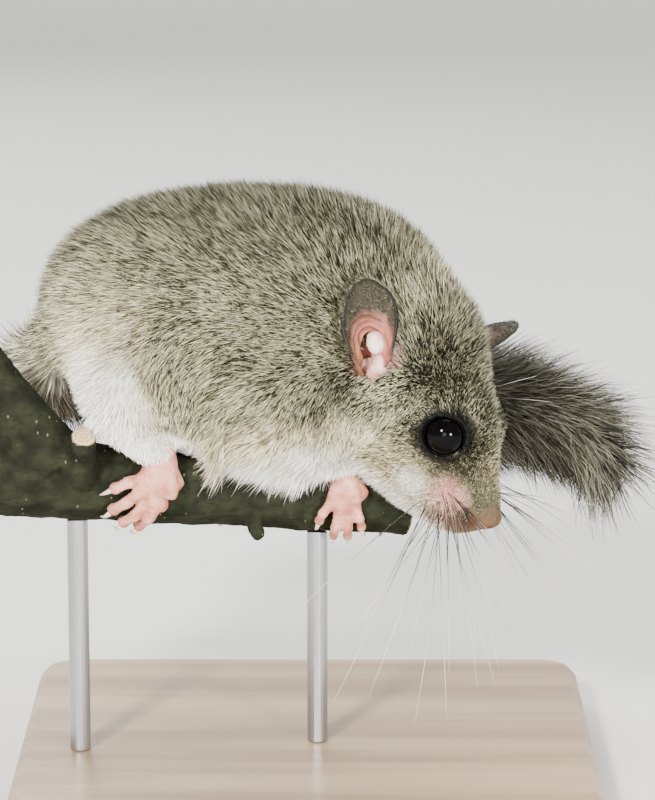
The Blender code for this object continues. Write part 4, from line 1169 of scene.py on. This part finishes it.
def tuft_mesh(name, roots, normals, flats, lie, length, width, lifts, seed, segments):
    """Thin bent ribbons that end in a point, one from each root, as one mesh."""
    draw = np.random.default_rng(seed)
    count = len(roots)
    roll = draw.normal(0, 0.5, count)[:, None]
    sway = draw.normal(0, 0.2, count)[:, None]
    across = np.cross(normals, lie)
    lie = unit(lie + across * sway)
    lean = draw.normal(1, 0.22, count)
    place = roots - normals * ROOT_DEPTH
    rings = []
    shares = np.linspace(0, 1, segments + 1)
    step = (length / segments)[:, None]
    for k, share in enumerate(shares):
        lift = (lifts[0] + (lifts[1] - lifts[0]) * share) * lean
        direction = lie * np.cos(lift)[:, None] + normals * np.sin(lift)[:, None]
        if k < segments:
            side = unit(np.cross(direction, normals))
            up = np.cross(side, direction)
            side = side * np.cos(roll) + up * np.sin(roll)
            half = (width * (0.55 + 0.45 * math.sin(math.pi * min(share + 0.35, 1.0))) / 2)[:, None]
            rings.append(place - side * half)
            rings.append(place + side * half)
            place = place + direction * step
        else:
            clump = CLUMPING.get(name, CLUMPING["others"])
            place = place + slope(roots, 1.3, 31) * (length * clump)[:, None]
            rings.append(place)
    points = np.stack(rings, 1)
    per = points.shape[1]
    pattern = []
    for k in range(segments - 1):
        pattern += [2 * k, 2 * k + 1, 2 * k + 3, 2 * k + 2]
    pattern += [2 * segments - 2, 2 * segments - 1, 2 * segments]
    corners = (np.arange(count)[:, None] * per + np.array(pattern)[None]).ravel()
    first = [4 * k for k in range(segments)]
    starts = (np.arange(count)[:, None] * len(pattern) + np.array(first)[None]).ravel()
    mesh = array_mesh(name, points.reshape(-1, 3), corners, starts)
    along = np.array([k // 2 / segments for k in range(per)])
    edge = np.array([(k % 2) - 0.5 if k < per - 1 else 0.0 for k in range(per)])
    patch = np.stack([edge, along], 1) * TUFT_PATCH
    flat = (flats[:, None] + patch[None]).reshape(-1, 2)
    layer = mesh.uv_layers.new(name="OFBake")
    layer.data.foreach_set("uv", flat[corners].astype(np.float32).ravel())
    set_values(mesh, "along", np.tile(along, count))
    tone = 0.47 + 0.16 * ripple(roots, 0.7, 41) + 0.08 * ripple(roots, 6.0, 42) + draw.normal(0, 0.3, count)
    set_values(mesh, "tone", np.repeat(np.clip(tone, 0, 1), per))
    for key, values in coat_marks(roots).items():
        if name == "coat_ears":
            values = np.full(count, 0.5 if key == "dark_fur_and_shade" else 0.0)
        set_values(mesh, key, np.repeat(values, per))
    return mesh


def region_weights(points, zone):
    """For each region of the coat, how densely hair grows at places on the skin."""
    forward = head_places(points)[0]
    x, y, z = (points - BODY).T
    length = coat_length(points)
    grows = ramp(length, 0.35, 0.8) * (zone < BODY_ZONE + 0.5) * (1 - coat_marks(points)["thin"])
    fine = np.interp(forward, [-3, 8, 16], [1.0, 1.5, 2.2])
    for side, eye in EYES.items():
        axis = eye_axis(side)
        local = points - eye
        aside = np.linalg.norm(local - (local @ axis)[:, None] * axis, axis=1)
        grows = grows * np.maximum(ramp(aside, EYE_OPENING - 0.15, EYE_OPENING + 0.1), local @ axis < 0)
        fine = fine + 1.2 * near(points, eye, 7.5)
    head = on_head_share(points) > 0.5
    along, away = tail_places(points)
    tail = (away < 7.0) & (along > 0.05)
    tail_tip = along >= 0.55
    face = head & (forward > -3)
    feet = foot_distance(points)
    legs = (feet < np.where(x < -18, 20, 10)) & ~head & ~tail
    trunk = ~head & ~tail & ~legs
    fore, low, high = x > -6, z <= -2, z >= 28
    flank = trunk & ~fore & ~low & ~high
    return {
        "coat_face": grows * face * fine,
        "coat_head": grows * (head & ~face),
        "coat_shoulders": grows * (trunk & fore & ~low),
        "coat_flank_near": grows * (flank & (y < 2)),
        "coat_flank_far": grows * (flank & (y >= 2)),
        "coat_back": grows * (trunk & ~fore & high),
        "coat_belly": grows * (trunk & low),
        "coat_legs": grows * legs,
        "coat_ears": 1.0 * (np.abs(zone - EAR_ZONE) < 0.2),
        "coat_tail": grows * (tail & ~tail_tip),
        "coat_tail_end": grows * (tail & tail_tip),
    }


# Coat pieces: number of tufts, their length as a share of the coat's, their width, their lift at root and
# tip in radians, and their segments.
COAT = {
    "coat_face": (64000, 0.66, 0.14, (1.15, 0.75), 2),
    "coat_head": (64000, 0.62, 0.17, (1.15, 0.75), 2),
    "coat_shoulders": (65000, 0.66, 0.21, (1.05, 0.6), 2),
    "coat_flank_near": (66000, 0.64, 0.21, (1.05, 0.55), 2),
    "coat_flank_far": (54000, 0.66, 0.24, (1.05, 0.55), 2),
    "coat_back": (54000, 0.64, 0.22, (1.05, 0.55), 2),
    "coat_belly": (44000, 0.78, 0.19, (0.8, 0.45), 2),
    "coat_legs": (22000, 1.0, 0.18, (0.6, 0.3), 2),
    "coat_ears": (7000, 1.0, 0.07, (0.5, 0.3), 2),
    "coat_tail": (22000, 1.0, 0.30, (0.95, 0.4), 3),
    "coat_tail_end": (25000, 1.0, 0.28, (0.9, 0.3), 3),
}
# How far tips lean together, as a share of the hair's length.
CLUMPING = {"coat_belly": 0.16, "others": 0.05}


def make_coat(skin, material):
    samples = skin_samples(skin)
    regions = region_weights(samples[0].mean(1), samples[3])
    made = []
    for seed, (name, (count, share, width, lifts, segments)) in enumerate(COAT.items()):
        roots, normals, flats = scattered(samples, regions[name], count, 100 + seed)
        draw = np.random.default_rng(200 + seed)
        whole = EAR_HAIR if name == "coat_ears" else coat_length(roots)
        length = whole * share * draw.uniform(0.7, 1.15, count)
        lie = lie_of_coat(roots, normals)
        widths = width * draw.uniform(0.7, 1.25, count)
        mesh = tuft_mesh(name, roots, normals, flats, lie, length, widths, lifts, 300 + seed, segments)
        mesh.materials.append(material)
        piece = new_object(name, mesh)
        made.append(piece)
    return made


# Materials


SHADER = "Principled BSDF"


def material_named(name, roughness, metallic=0.0, **sockets):
    """A Principled material with its constant values set on the shader, and its node tree."""
    made = bpy.data.materials.new(name)
    made.use_nodes = True
    inputs = made.node_tree.nodes[SHADER].inputs
    inputs["Roughness"].default_value = roughness
    inputs["Metallic"].default_value = metallic
    for key, value in sockets.items():
        inputs[key.replace("_", " ")].default_value = value
    return made, made.node_tree


def feed(tree, value, socket):
    """Gives a node's input another node's output, an RGB colour or a number."""
    if isinstance(value, bpy.types.NodeSocket):
        tree.links.new(value, socket)
    elif isinstance(value, tuple):
        socket.default_value = (*value, 1.0)
    else:
        socket.default_value = value


def coloured(tree, colour):
    tree.links.new(colour, tree.nodes[SHADER].inputs["Base Color"])


def mixed(tree, factor, first, second):
    """A colour mix. The factor and each colour are a socket, a number or an RGB colour."""
    node = tree.nodes.new("ShaderNodeMix")
    node.data_type = "RGBA"
    for index, value in ((0, factor), (6, first), (7, second)):
        feed(tree, value, node.inputs[index])
    return node.outputs[2]


def ranged(tree, value, low, high, out_low=0.0, out_high=1.0):
    """A value taken smoothly from one range to another."""
    node = tree.nodes.new("ShaderNodeMapRange")
    node.interpolation_type = "SMOOTHSTEP"
    keys = ("Value", "From Min", "From Max", "To Min", "To Max")
    for key, number in zip(keys, (value, low, high, out_low, out_high)):
        feed(tree, number, node.inputs[key])
    return node.outputs["Result"]


def texture(tree, kind, scale, stretch):
    """A texture node over the object's own coordinates."""
    place = tree.nodes.new("ShaderNodeTexCoord").outputs["Object"]
    if stretch:
        mapping = tree.nodes.new("ShaderNodeMapping")
        mapping.inputs["Scale"].default_value = stretch
        tree.links.new(place, mapping.inputs["Vector"])
        place = mapping.outputs["Vector"]
    node = tree.nodes.new(kind)
    node.inputs["Scale"].default_value = scale
    tree.links.new(place, node.inputs["Vector"])
    return node


def noise(tree, scale, detail=3.0, stretch=None):
    """Fine random variation."""
    node = texture(tree, "ShaderNodeTexNoise", scale, stretch)
    node.inputs["Detail"].default_value = detail
    return node.outputs["Fac"]


def cells(tree, scale, stretch=None):
    """The distance to the nearest of many scattered points."""
    return texture(tree, "ShaderNodeTexVoronoi", scale, stretch).outputs["Distance"]


def value_of(tree, name):
    node = tree.nodes.new("ShaderNodeAttribute")
    node.attribute_name = name
    return node.outputs["Fac"]


def bumped(tree, height, distance, strength):
    node = tree.nodes.new("ShaderNodeBump")
    node.inputs["Distance"].default_value = distance * MM
    node.inputs["Strength"].default_value = strength
    tree.links.new(height, node.inputs["Height"])
    tree.links.new(node.outputs["Normal"], tree.nodes[SHADER].inputs["Normal"])


def fleshy(tree, weight, reach):
    """Light that goes a little way under the surface, in millimetres of red, green and blue."""
    inputs = tree.nodes[SHADER].inputs
    inputs["Subsurface Weight"].default_value = weight
    inputs["Subsurface Radius"].default_value = tuple(each * MM for each in reach)


# Linear colours of the coat, each at the hair's root, in its middle and at a light tip. All but the first
# are mixed in by the marks, in this order.
OLIVE = ((0.007, 0.0065, 0.004), (0.084, 0.078, 0.044), (0.72, 0.685, 0.44))
CREAM = ((0.075, 0.063, 0.033), (0.62, 0.53, 0.30), (0.98, 0.91, 0.66))
WHITE = ((0.58, 0.545, 0.46), (0.94, 0.915, 0.83), (0.99, 0.98, 0.94))
DUSK = ((0.004, 0.0037, 0.003), (0.0145, 0.0135, 0.0095), (0.088, 0.082, 0.056))
ROSE = ((0.52, 0.22, 0.17), (0.82, 0.49, 0.42), (0.98, 0.82, 0.74))
# The tail's colours are darker than the body's: partly the tail's own grey-brown, partly painted shade.
TAIL = ((0.009, 0.0085, 0.0055), (0.045, 0.042, 0.028), (0.20, 0.19, 0.14))
MARK_SHADES = {"cream": CREAM, "white_and_nose_highlight": WHITE, "dark_fur_and_shade": DUSK, "rosy": ROSE, "tail": TAIL}


def coat_group():
    """A node group that gives the coat's colour from its marks, the place along a hair and its tone."""
    group = bpy.data.node_groups.new("coat_colour", "ShaderNodeTree")
    for name in ("Along", "Tone", *(key.capitalize() for key in MARK_SHADES)):
        group.interface.new_socket(name, in_out="INPUT", socket_type="NodeSocketFloat")
    group.interface.new_socket("Colour", in_out="OUTPUT", socket_type="NodeSocketColor")
    given = group.nodes.new("NodeGroupInput").outputs
    result = group.nodes.new("NodeGroupOutput").inputs["Colour"]
    light = ranged(group, given["Tone"], 0.44, 0.68)
    dark = ranged(group, given["Tone"], 0.41, 0.20)
    middle = ranged(group, given["Along"], 0.1, 0.5)
    tip = ranged(group, given["Along"], 0.35, 0.75)

    def shade(colours):
        root, body, end = colours
        hair = mixed(group, tip, body, mixed(group, light, body, end))
        hair = mixed(group, middle, root, hair)
        return mixed(group, dark, hair, root)

    colour = shade(OLIVE)
    for key, colours in MARK_SHADES.items():
        colour = mixed(group, given[key.capitalize()], colour, shade(colours))
    group.links.new(colour, result)
    return group


def coat_colour(tree, group, along, tone):
    """Places the coat's node group and feeds it the marks."""
    node = tree.nodes.new("ShaderNodeGroup")
    node.node_tree = group
    feed(tree, along, node.inputs["Along"])
    feed(tree, tone, node.inputs["Tone"])
    for key in MARK_SHADES:
        tree.links.new(value_of(tree, key), node.inputs[key.capitalize()])
    return node.outputs["Colour"]


def coat_material(group):
    made, tree = material_named("coat_hair", 0.6, Specular_IOR_Level=0.22)
    coloured(tree, coat_colour(tree, group, value_of(tree, "along"), value_of(tree, "tone")))
    return made


def skin_material(group):
    made, tree = material_named("skin", 0.65, Specular_IOR_Level=0.12)
    tone = noise(tree, 900.0, 2.0)
    under = coat_colour(tree, group, 0.28, tone)
    under = mixed(tree, value_of(tree, "lash"), under, (0.002, 0.002, 0.002))
    tan = mixed(tree, noise(tree, 800.0, 4.0), (0.042, 0.016, 0.007), (0.155, 0.062, 0.031))
    # Paler bare skin where the white mark is: the white lips, and a painted highlight on the tip of the nose.
    tan = mixed(tree, value_of(tree, "white_and_nose_highlight"), tan, (0.46, 0.32, 0.23))
    colour = mixed(tree, value_of(tree, "bare"), under, tan)
    # Painted shade: darker in the nostrils and between the lips.
    colour = mixed(tree, value_of(tree, "hollow_shade"), colour, (0.016, 0.005, 0.002))
    coloured(tree, colour)
    fleshy(tree, 0.12, (0.6, 0.25, 0.15))
    bumped(tree, noise(tree, 2200.0, 3.0), 0.12, 0.7)
    return made


def ear_material():
    """Thin ear skin: grey-brown with a dark rim, pink round the canal, with a pale flap and lobe. The grooves
    of the folds and the canal's opening are darkened as painted shade, and the pale flap carries a painted
    highlight at its middle.
    """
    made, tree = material_named("ear_skin", 0.55, Specular_IOR_Level=0.22)
    mottle = noise(tree, 500.0, 4.0)
    brown = mixed(tree, mottle, (0.016, 0.0135, 0.008), (0.060, 0.050, 0.029))
    pink = mixed(tree, mottle, (0.24, 0.062, 0.042), (0.45, 0.165, 0.125))
    amber = mixed(tree, mottle, (0.13, 0.045, 0.016), (0.32, 0.15, 0.08))
    # Pale skin of the flap, near white where a highlight is painted at its middle.
    flap = mixed(tree, ranged(tree, mottle, 0.3, 0.6), (0.66, 0.36, 0.34), (0.95, 0.82, 0.81))
    layers = {
        "inside": pink,
        "amber": amber,
        # Painted shade in the grooves of the folds.
        "fold_shade": (0.075, 0.024, 0.010),
        # Painted shade in the canal's opening.
        "hollow_shade": (0.055, 0.012, 0.003),
        "flap": flap,
        "rim": (0.009, 0.008, 0.005),
    }
    colour = brown
    for key, shade in layers.items():
        colour = mixed(tree, value_of(tree, key), colour, shade)
    coloured(tree, colour)
    fleshy(tree, 0.1, (0.7, 0.3, 0.2))
    bumped(tree, noise(tree, 2600.0, 3.0), 0.1, 0.7)
    return made


def foot_material():
    """Mottled salmon skin of the feet, with small scales."""
    made, tree = material_named("foot_skin", 0.48, Specular_IOR_Level=0.4)
    mottle = ranged(tree, noise(tree, 330.0, 5.0), 0.3, 0.7)
    colour = mixed(tree, mottle, (0.40, 0.12, 0.070), (0.66, 0.34, 0.26))
    scales = cells(tree, 2300.0)
    edges = ranged(tree, scales, 0.45, 0.75, 0.0, 0.35)
    colour = mixed(tree, edges, colour, (0.36, 0.15, 0.11))
    coloured(tree, colour)
    fleshy(tree, 0.18, (0.7, 0.3, 0.2))
    bumped(tree, ranged(tree, scales, 0.9, 0.2), 0.1, 0.6)
    return made


def lid_material():
    made, tree = material_named("lid_skin", 0.95, Specular_IOR_Level=0.0)
    colour = mixed(tree, noise(tree, 900.0, 3.0), (0.001, 0.001, 0.001), (0.004, 0.0035, 0.003))
    coloured(tree, colour)
    bumped(tree, noise(tree, 3000.0, 3.0), 0.06, 0.7)
    return made


def claw_material():
    made, tree = material_named("claw_horn", 0.3, Specular_IOR_Level=0.5)
    colour = mixed(tree, noise(tree, 700.0, 3.0), (0.42, 0.33, 0.24), (0.72, 0.66, 0.55))
    coloured(tree, colour)
    return made


def whisker_material():
    """Stiff hair, dark at the root and pale at the tip."""
    made, tree = material_named("whisker_hair", 0.35, Specular_IOR_Level=0.5)
    along = ranged(tree, value_of(tree, "along"), 0.25, 0.8)
    coloured(tree, mixed(tree, along, (0.020, 0.017, 0.012), (0.60, 0.57, 0.50)))
    return made


def eye_material():
    made, tree = material_named("eye_black", 0.02, Specular_IOR_Level=0.08)
    colour = mixed(tree, noise(tree, 500.0), (0.0004, 0.0004, 0.0006), (0.0012, 0.0010, 0.0010))
    coloured(tree, colour)
    return made


def bark_material():
    """Dark bark with grey-green bloom, fine cracks and small pale pores, and pale wood where it is cut."""
    made, tree = material_named("bark", 0.88, Specular_IOR_Level=0.12)
    bloom = ranged(tree, noise(tree, 260.0, 10.0), 0.30, 0.74)
    colour = mixed(tree, bloom, (0.005, 0.006, 0.003), (0.018, 0.020, 0.010))
    cracks = ranged(tree, noise(tree, 1500.0, 6.0, (0.35, 1.0, 1.0)), 0.46, 0.30)
    colour = mixed(tree, cracks, colour, (0.008, 0.009, 0.004))
    pores = ranged(tree, cells(tree, 420.0, (1.6, 0.8, 0.8)), 0.13, 0.06, 0.0, 0.6)
    colour = mixed(tree, pores, colour, (0.20, 0.19, 0.12))
    rings = ranged(tree, value_of(tree, "ring"), 0.2, 0.8)
    wood = mixed(tree, rings, (0.34, 0.24, 0.13), (0.56, 0.43, 0.26))
    colour = mixed(tree, value_of(tree, "cut"), colour, wood)
    coloured(tree, colour)
    bumped(tree, noise(tree, 640.0, 6.0, (0.4, 1.0, 1.0)), 0.45, 0.8)
    return made


def stand_wood_material():
    made, tree = material_named("stand_wood", 0.42, Coat_Weight=0.25, Coat_Roughness=0.2)
    grain = noise(tree, 60.0, 6.0, (0.12, 1.6, 1.6))
    colour = mixed(tree, ranged(tree, grain, 0.3, 0.7), (0.24, 0.15, 0.08), (0.44, 0.31, 0.18))
    coloured(tree, colour)
    bumped(tree, noise(tree, 300.0, 5.0, (0.1, 1.6, 1.6)), 0.08, 0.5)
    return made


def stand_metal_material():
    made, tree = material_named("stand_metal", 0.35, 1.0)
    brushed = noise(tree, 900.0, 3.0, (1.0, 1.0, 0.04))
    colour = mixed(tree, brushed, (0.30, 0.30, 0.31), (0.46, 0.46, 0.47))
    coloured(tree, colour)
    feed(tree, ranged(tree, brushed, 0.2, 0.8, 0.28, 0.44), tree.nodes[SHADER].inputs["Roughness"])
    return made


def stage_material(name, colour):
    made, tree = material_named(name, 0.9, Specular_IOR_Level=0.1)
    tone = mixed(tree, noise(tree, 3.0), colour, tuple(c * 0.97 for c in colour))
    # Painted light: the floor and wall are painted paler far away, where the lamps' light falls off.
    tone = mixed(tree, value_of(tree, "far"), tone, (0.94, 0.935, 0.93))
    coloured(tree, tone)
    return made


# Eyes, whiskers and bark


def make_eyes(material):
    made = []
    for side, centre in EYES.items():
        name = f"eyeball_{side}"
        work = bmesh.new()
        bmesh.ops.create_uvsphere(work, u_segments=48, v_segments=32, radius=(EYE_RADIUS - 0.05) * MM)
        bmesh.ops.translate(work, verts=work.verts, vec=Vector(centre * MM))
        eye = new_object(name, mesh_from(work, name), material)
        smooth_shaded(eye.data)
        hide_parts(f"eye_{side}")
        made.append(eye)
    return made


# Directions of the whiskers in the head's axes, from those that droop to those that stand up.
WHISKER_FAN = [
    (0.10, 0.75, -0.60),
    (0.55, 0.65, -0.52),
    (0.86, 0.42, -0.32),
    (0.97, 0.28, -0.07),
    (0.86, 0.30, 0.22),
    (0.61, 0.35, 0.45),
    (0.35, 0.40, 0.85),
    (0.05, 0.35, 0.95),
]
# How far to each side the whiskers' tips may reach. Longer ones curve back.
WHISKER_REACH = 49.0
WHISKER_ROWS = 5
WHISKER_COLUMNS = 6
WHISKER_SIDES = 5
BROW_WHISKERS = 2


def make_whiskers(skin, material):
    """Long stiff hairs from both whisker beds and a few over each eye."""
    tree = surface_of(skin.data)
    draw = np.random.default_rng(77)
    roots = []
    for side in (1, -1):
        for row in range(WHISKER_ROWS):
            for column in range(WHISKER_COLUMNS):
                forward = 14.0 - 0.9 * column - 0.1 * row + draw.uniform(-0.25, 0.25)
                up = -1.6 - 1.35 * row - 0.4 * column + draw.uniform(-0.25, 0.25)
                fan = 4.8 - row * 0.95 - 0.1 * column + draw.uniform(-0.4, 0.4)
                length = (22 + 4.5 * column) * draw.uniform(0.8, 1.15) * (1 - 0.07 * abs(row - 2))
                roots.append((side, (forward, 7.5, up), fan, length, 0.08))
        for k in range(BROW_WHISKERS):
            roots.append((side, (-2.5 - 1.5 * k, 7.5, 9.0), 6.3 + 0.3 * k, draw.uniform(9, 12), 0.03))
    pieces = []
    shares = np.linspace(0, 1, 16)
    fan_rows = np.transpose(WHISKER_FAN)
    for side, (forward, right, up), fan, length, radius in roots:
        hit, normal = tree.find_nearest(Vector(on_head(forward, side * right, up) * MM))[:2]
        way = np.array([np.interp(fan, range(len(row)), row) for row in fan_rows])
        way = unit(way * (1, side, 1) + draw.normal(0, 0.03, 3)) @ HEAD_AXES
        way = unit(way + 0.35 * np.array(normal))
        bend = draw.normal(0, 0.05, 3) + np.array([0, 0, -0.10])
        root = np.array(hit) / MM - np.array(normal) * 0.4
        line = root + way * (shares * length)[:, None] + bend * (length * shares**2)[:, None]
        line[:, 1] += (np.clip(line[-1, 1], -WHISKER_REACH, WHISKER_REACH) - line[-1, 1]) * shares**2
        radii = radius * (1 - shares) ** 0.75 + 0.012
        sheet = tube_sheet(line, radii, WHISKER_SIDES, (0.3, 0.2, 0.93))
        mesh = grid_mesh("whisker", sheet, caps=True)
        set_values(mesh, "along", np.repeat(shares, WHISKER_SIDES))
        pieces.append(new_object("whisker", mesh))
    whiskers = joined("whiskers", pieces)
    whiskers.data.materials.append(material)
    return whiskers


# The tips and roots of the branch's two cut side shoots, from the middle of the body.
SIDE_SHOOTS = (((-66.5, -8.5, 10.0), (-52, -9, -11)), ((-45.8, -17.6, -3.2), (-47.0, -12, -12)))


def make_bark(material):
    """The perch's own shape, finer, with low swellings, and its cut ends as bare wood."""
    bark = merged_solids(["perch_branch"], 0.0)
    bark.name = "bark"
    fuse(bark, BARK_VOXEL)
    mesh = bark.data
    smoothed(mesh, 0.5, 4)
    places = places_of(mesh)
    normals = normals_of(mesh)
    straight = unit(BRANCH_END - BRANCH_START)
    run = (places - BODY - BRANCH_START) @ straight
    length = np.linalg.norm(BRANCH_END - BRANCH_START)
    facing = np.abs(normals @ straight)
    cut = np.maximum(1 - ramp(run, 0.2, 0.9), ramp(run, length - 0.9, length - 0.2))
    cut = cut * ramp(facing, 0.5, 0.85)
    away = np.linalg.norm(places - BODY - BRANCH_START - run[:, None] * straight, axis=1)
    for tip, base in SIDE_SHOOTS:
        way = unit(np.subtract(tip, base))
        offset = (places - BODY - tip) @ way
        beside = np.linalg.norm(places - BODY - tip - offset[:, None] * way, axis=1)
        end = ramp(offset, -0.9, -0.3) * (beside < 7) * ramp(np.abs(normals @ way), 0.5, 0.85)
        away = np.where(end > 0.1, beside, away)
        cut = np.maximum(cut, end)
    rough = 0.10 * ripple(places * (0.4, 1, 1), 2.2, 51) + 0.07 * ripple(places * (0.5, 1, 1), 0.9, 52)
    set_places(mesh, places + normals * (rough * (1 - cut))[:, None] - normals * 0.05)
    set_values(mesh, "cut", cut)
    set_values(mesh, "ring", 0.5 + 0.5 * np.sin(away * 7.5 + 0.8 * ripple(places, 4.0, 53)))
    mesh.materials.clear()
    mesh.materials.append(material)
    smooth_shaded(mesh)
    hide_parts("perch_branch")
    return bark


# Stage, lights and camera


def make_stage():
    """A pale floor that curves up far away into a pale wall all round. It is painted paler far from the
    animal: painted light where less lamp light reaches.
    """
    rise = np.radians(np.linspace(0, 90, 12))
    wall = [(1300.0 + 700.0 * math.sin(t), 700.0 * (1 - math.cos(t))) for t in rise]
    profile = [(radius, 0.0) for radius in (400.0, 600.0, 800.0, 1000.0, 1150.0)] + wall + [(2000.0, 3000.0)]
    turns = full_turn(64)
    material = stage_material("pale_floor", (0.74, 0.735, 0.72))
    for name, rows in (("floor", profile), ("floor_middle", [(0.01, 0.0), (400.0, 0.0)])):
        sheet = [[(r * math.cos(t), r * math.sin(t), z) for t in turns] for r, z in rows]
        each = new_object(name, grid_mesh(name, sheet), material)
        away = np.linalg.norm(places_of(each.data) * (1, 1, 1.4), axis=1)
        # Painted light: paler with distance, where the lamps' light falls off.
        set_values(each.data, "far", ramp(away, 700.0, 2000.0))


# Lamps: place and width in metres, power in watts, and colour.
LAMPS = {
    "key": ((-0.40, -0.95, 0.62), 0.15, 19.8, (1.0, 0.985, 0.95)),
    "fill": ((0.50, -0.95, 0.22), 0.15, 12.4, (1.0, 0.99, 0.97)),
    "low": ((-0.10, -0.95, 0.22), 0.3, 2.6, (1.0, 1.0, 1.0)),
    "top": ((0.05, 0.25, 1.0), 0.7, 6.2, (1.0, 1.0, 1.0)),
    "back": ((-0.4, 0.9, 0.7), 0.6, 6.4, (1.0, 1.0, 1.0)),
}


def make_lights():
    """Square lamps that point at the middle of the body, and a dim sky."""
    for name, (place, size, power, colour) in LAMPS.items():
        light = bpy.data.lights.new(name, "AREA")
        light.shape = "SQUARE"
        light.size = size
        light.spread = math.radians(150)
        light.energy = power
        light.color = colour
        aimed(new_object(name, light), place, Vector(BODY * MM) - Vector(place))
    world = bpy.data.worlds.new("studio")
    world.use_nodes = True
    sky = world.node_tree.nodes["Background"].inputs
    sky["Color"].default_value = (0.93, 0.95, 1.0, 1.0)
    sky["Strength"].default_value = 0.5
    bpy.context.scene.world = world


def make_camera():
    camera = bpy.data.cameras.new("camera")
    camera.sensor_width = SENSOR
    camera.lens = SENSOR / 2 / (FRAME_HEIGHT / 2 / PIXELS_PER_MM / CAMERA_DISTANCE)
    camera.clip_start = 0.01
    camera.clip_end = 20.0
    lean = math.radians(CAMERA_ELEVATION)
    back = np.array([0.0, -math.cos(lean), math.sin(lean)])
    made = new_object("camera", camera)
    aimed(made, (BODY + back * CAMERA_DISTANCE) * MM, -back)
    bpy.context.scene.camera = made


# Everything in turn


def main():
    group = coat_group()
    make_stage()
    make_lights()
    make_camera()
    skin = make_skin(skin_material(group), ear_material(), foot_material(), lid_material())
    for name, values in coat_marks(places_of(skin.data)).items():
        set_values(skin.data, name, values)
    unwrap(skin)
    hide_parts(*FLESH, *FEET, *TAIL_NODES, *EARS)
    pieces = [skin, *make_coat(skin, coat_material(group)), *make_eyes(eye_material())]
    pieces.append(make_whiskers(skin, whisker_material()))
    pieces.append(make_claws(claw_material()))
    pieces.append(make_bark(bark_material()))
    for piece in pieces:
        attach(piece, ROOT)
    metal = stand_metal_material()
    finishes = {"stand_base": stand_wood_material(), "stand_rod_back": metal, "stand_rod_front": metal}
    for name, material in finishes.items():
        NODES[name].data.materials.clear()
        NODES[name].data.materials.append(material)


main()
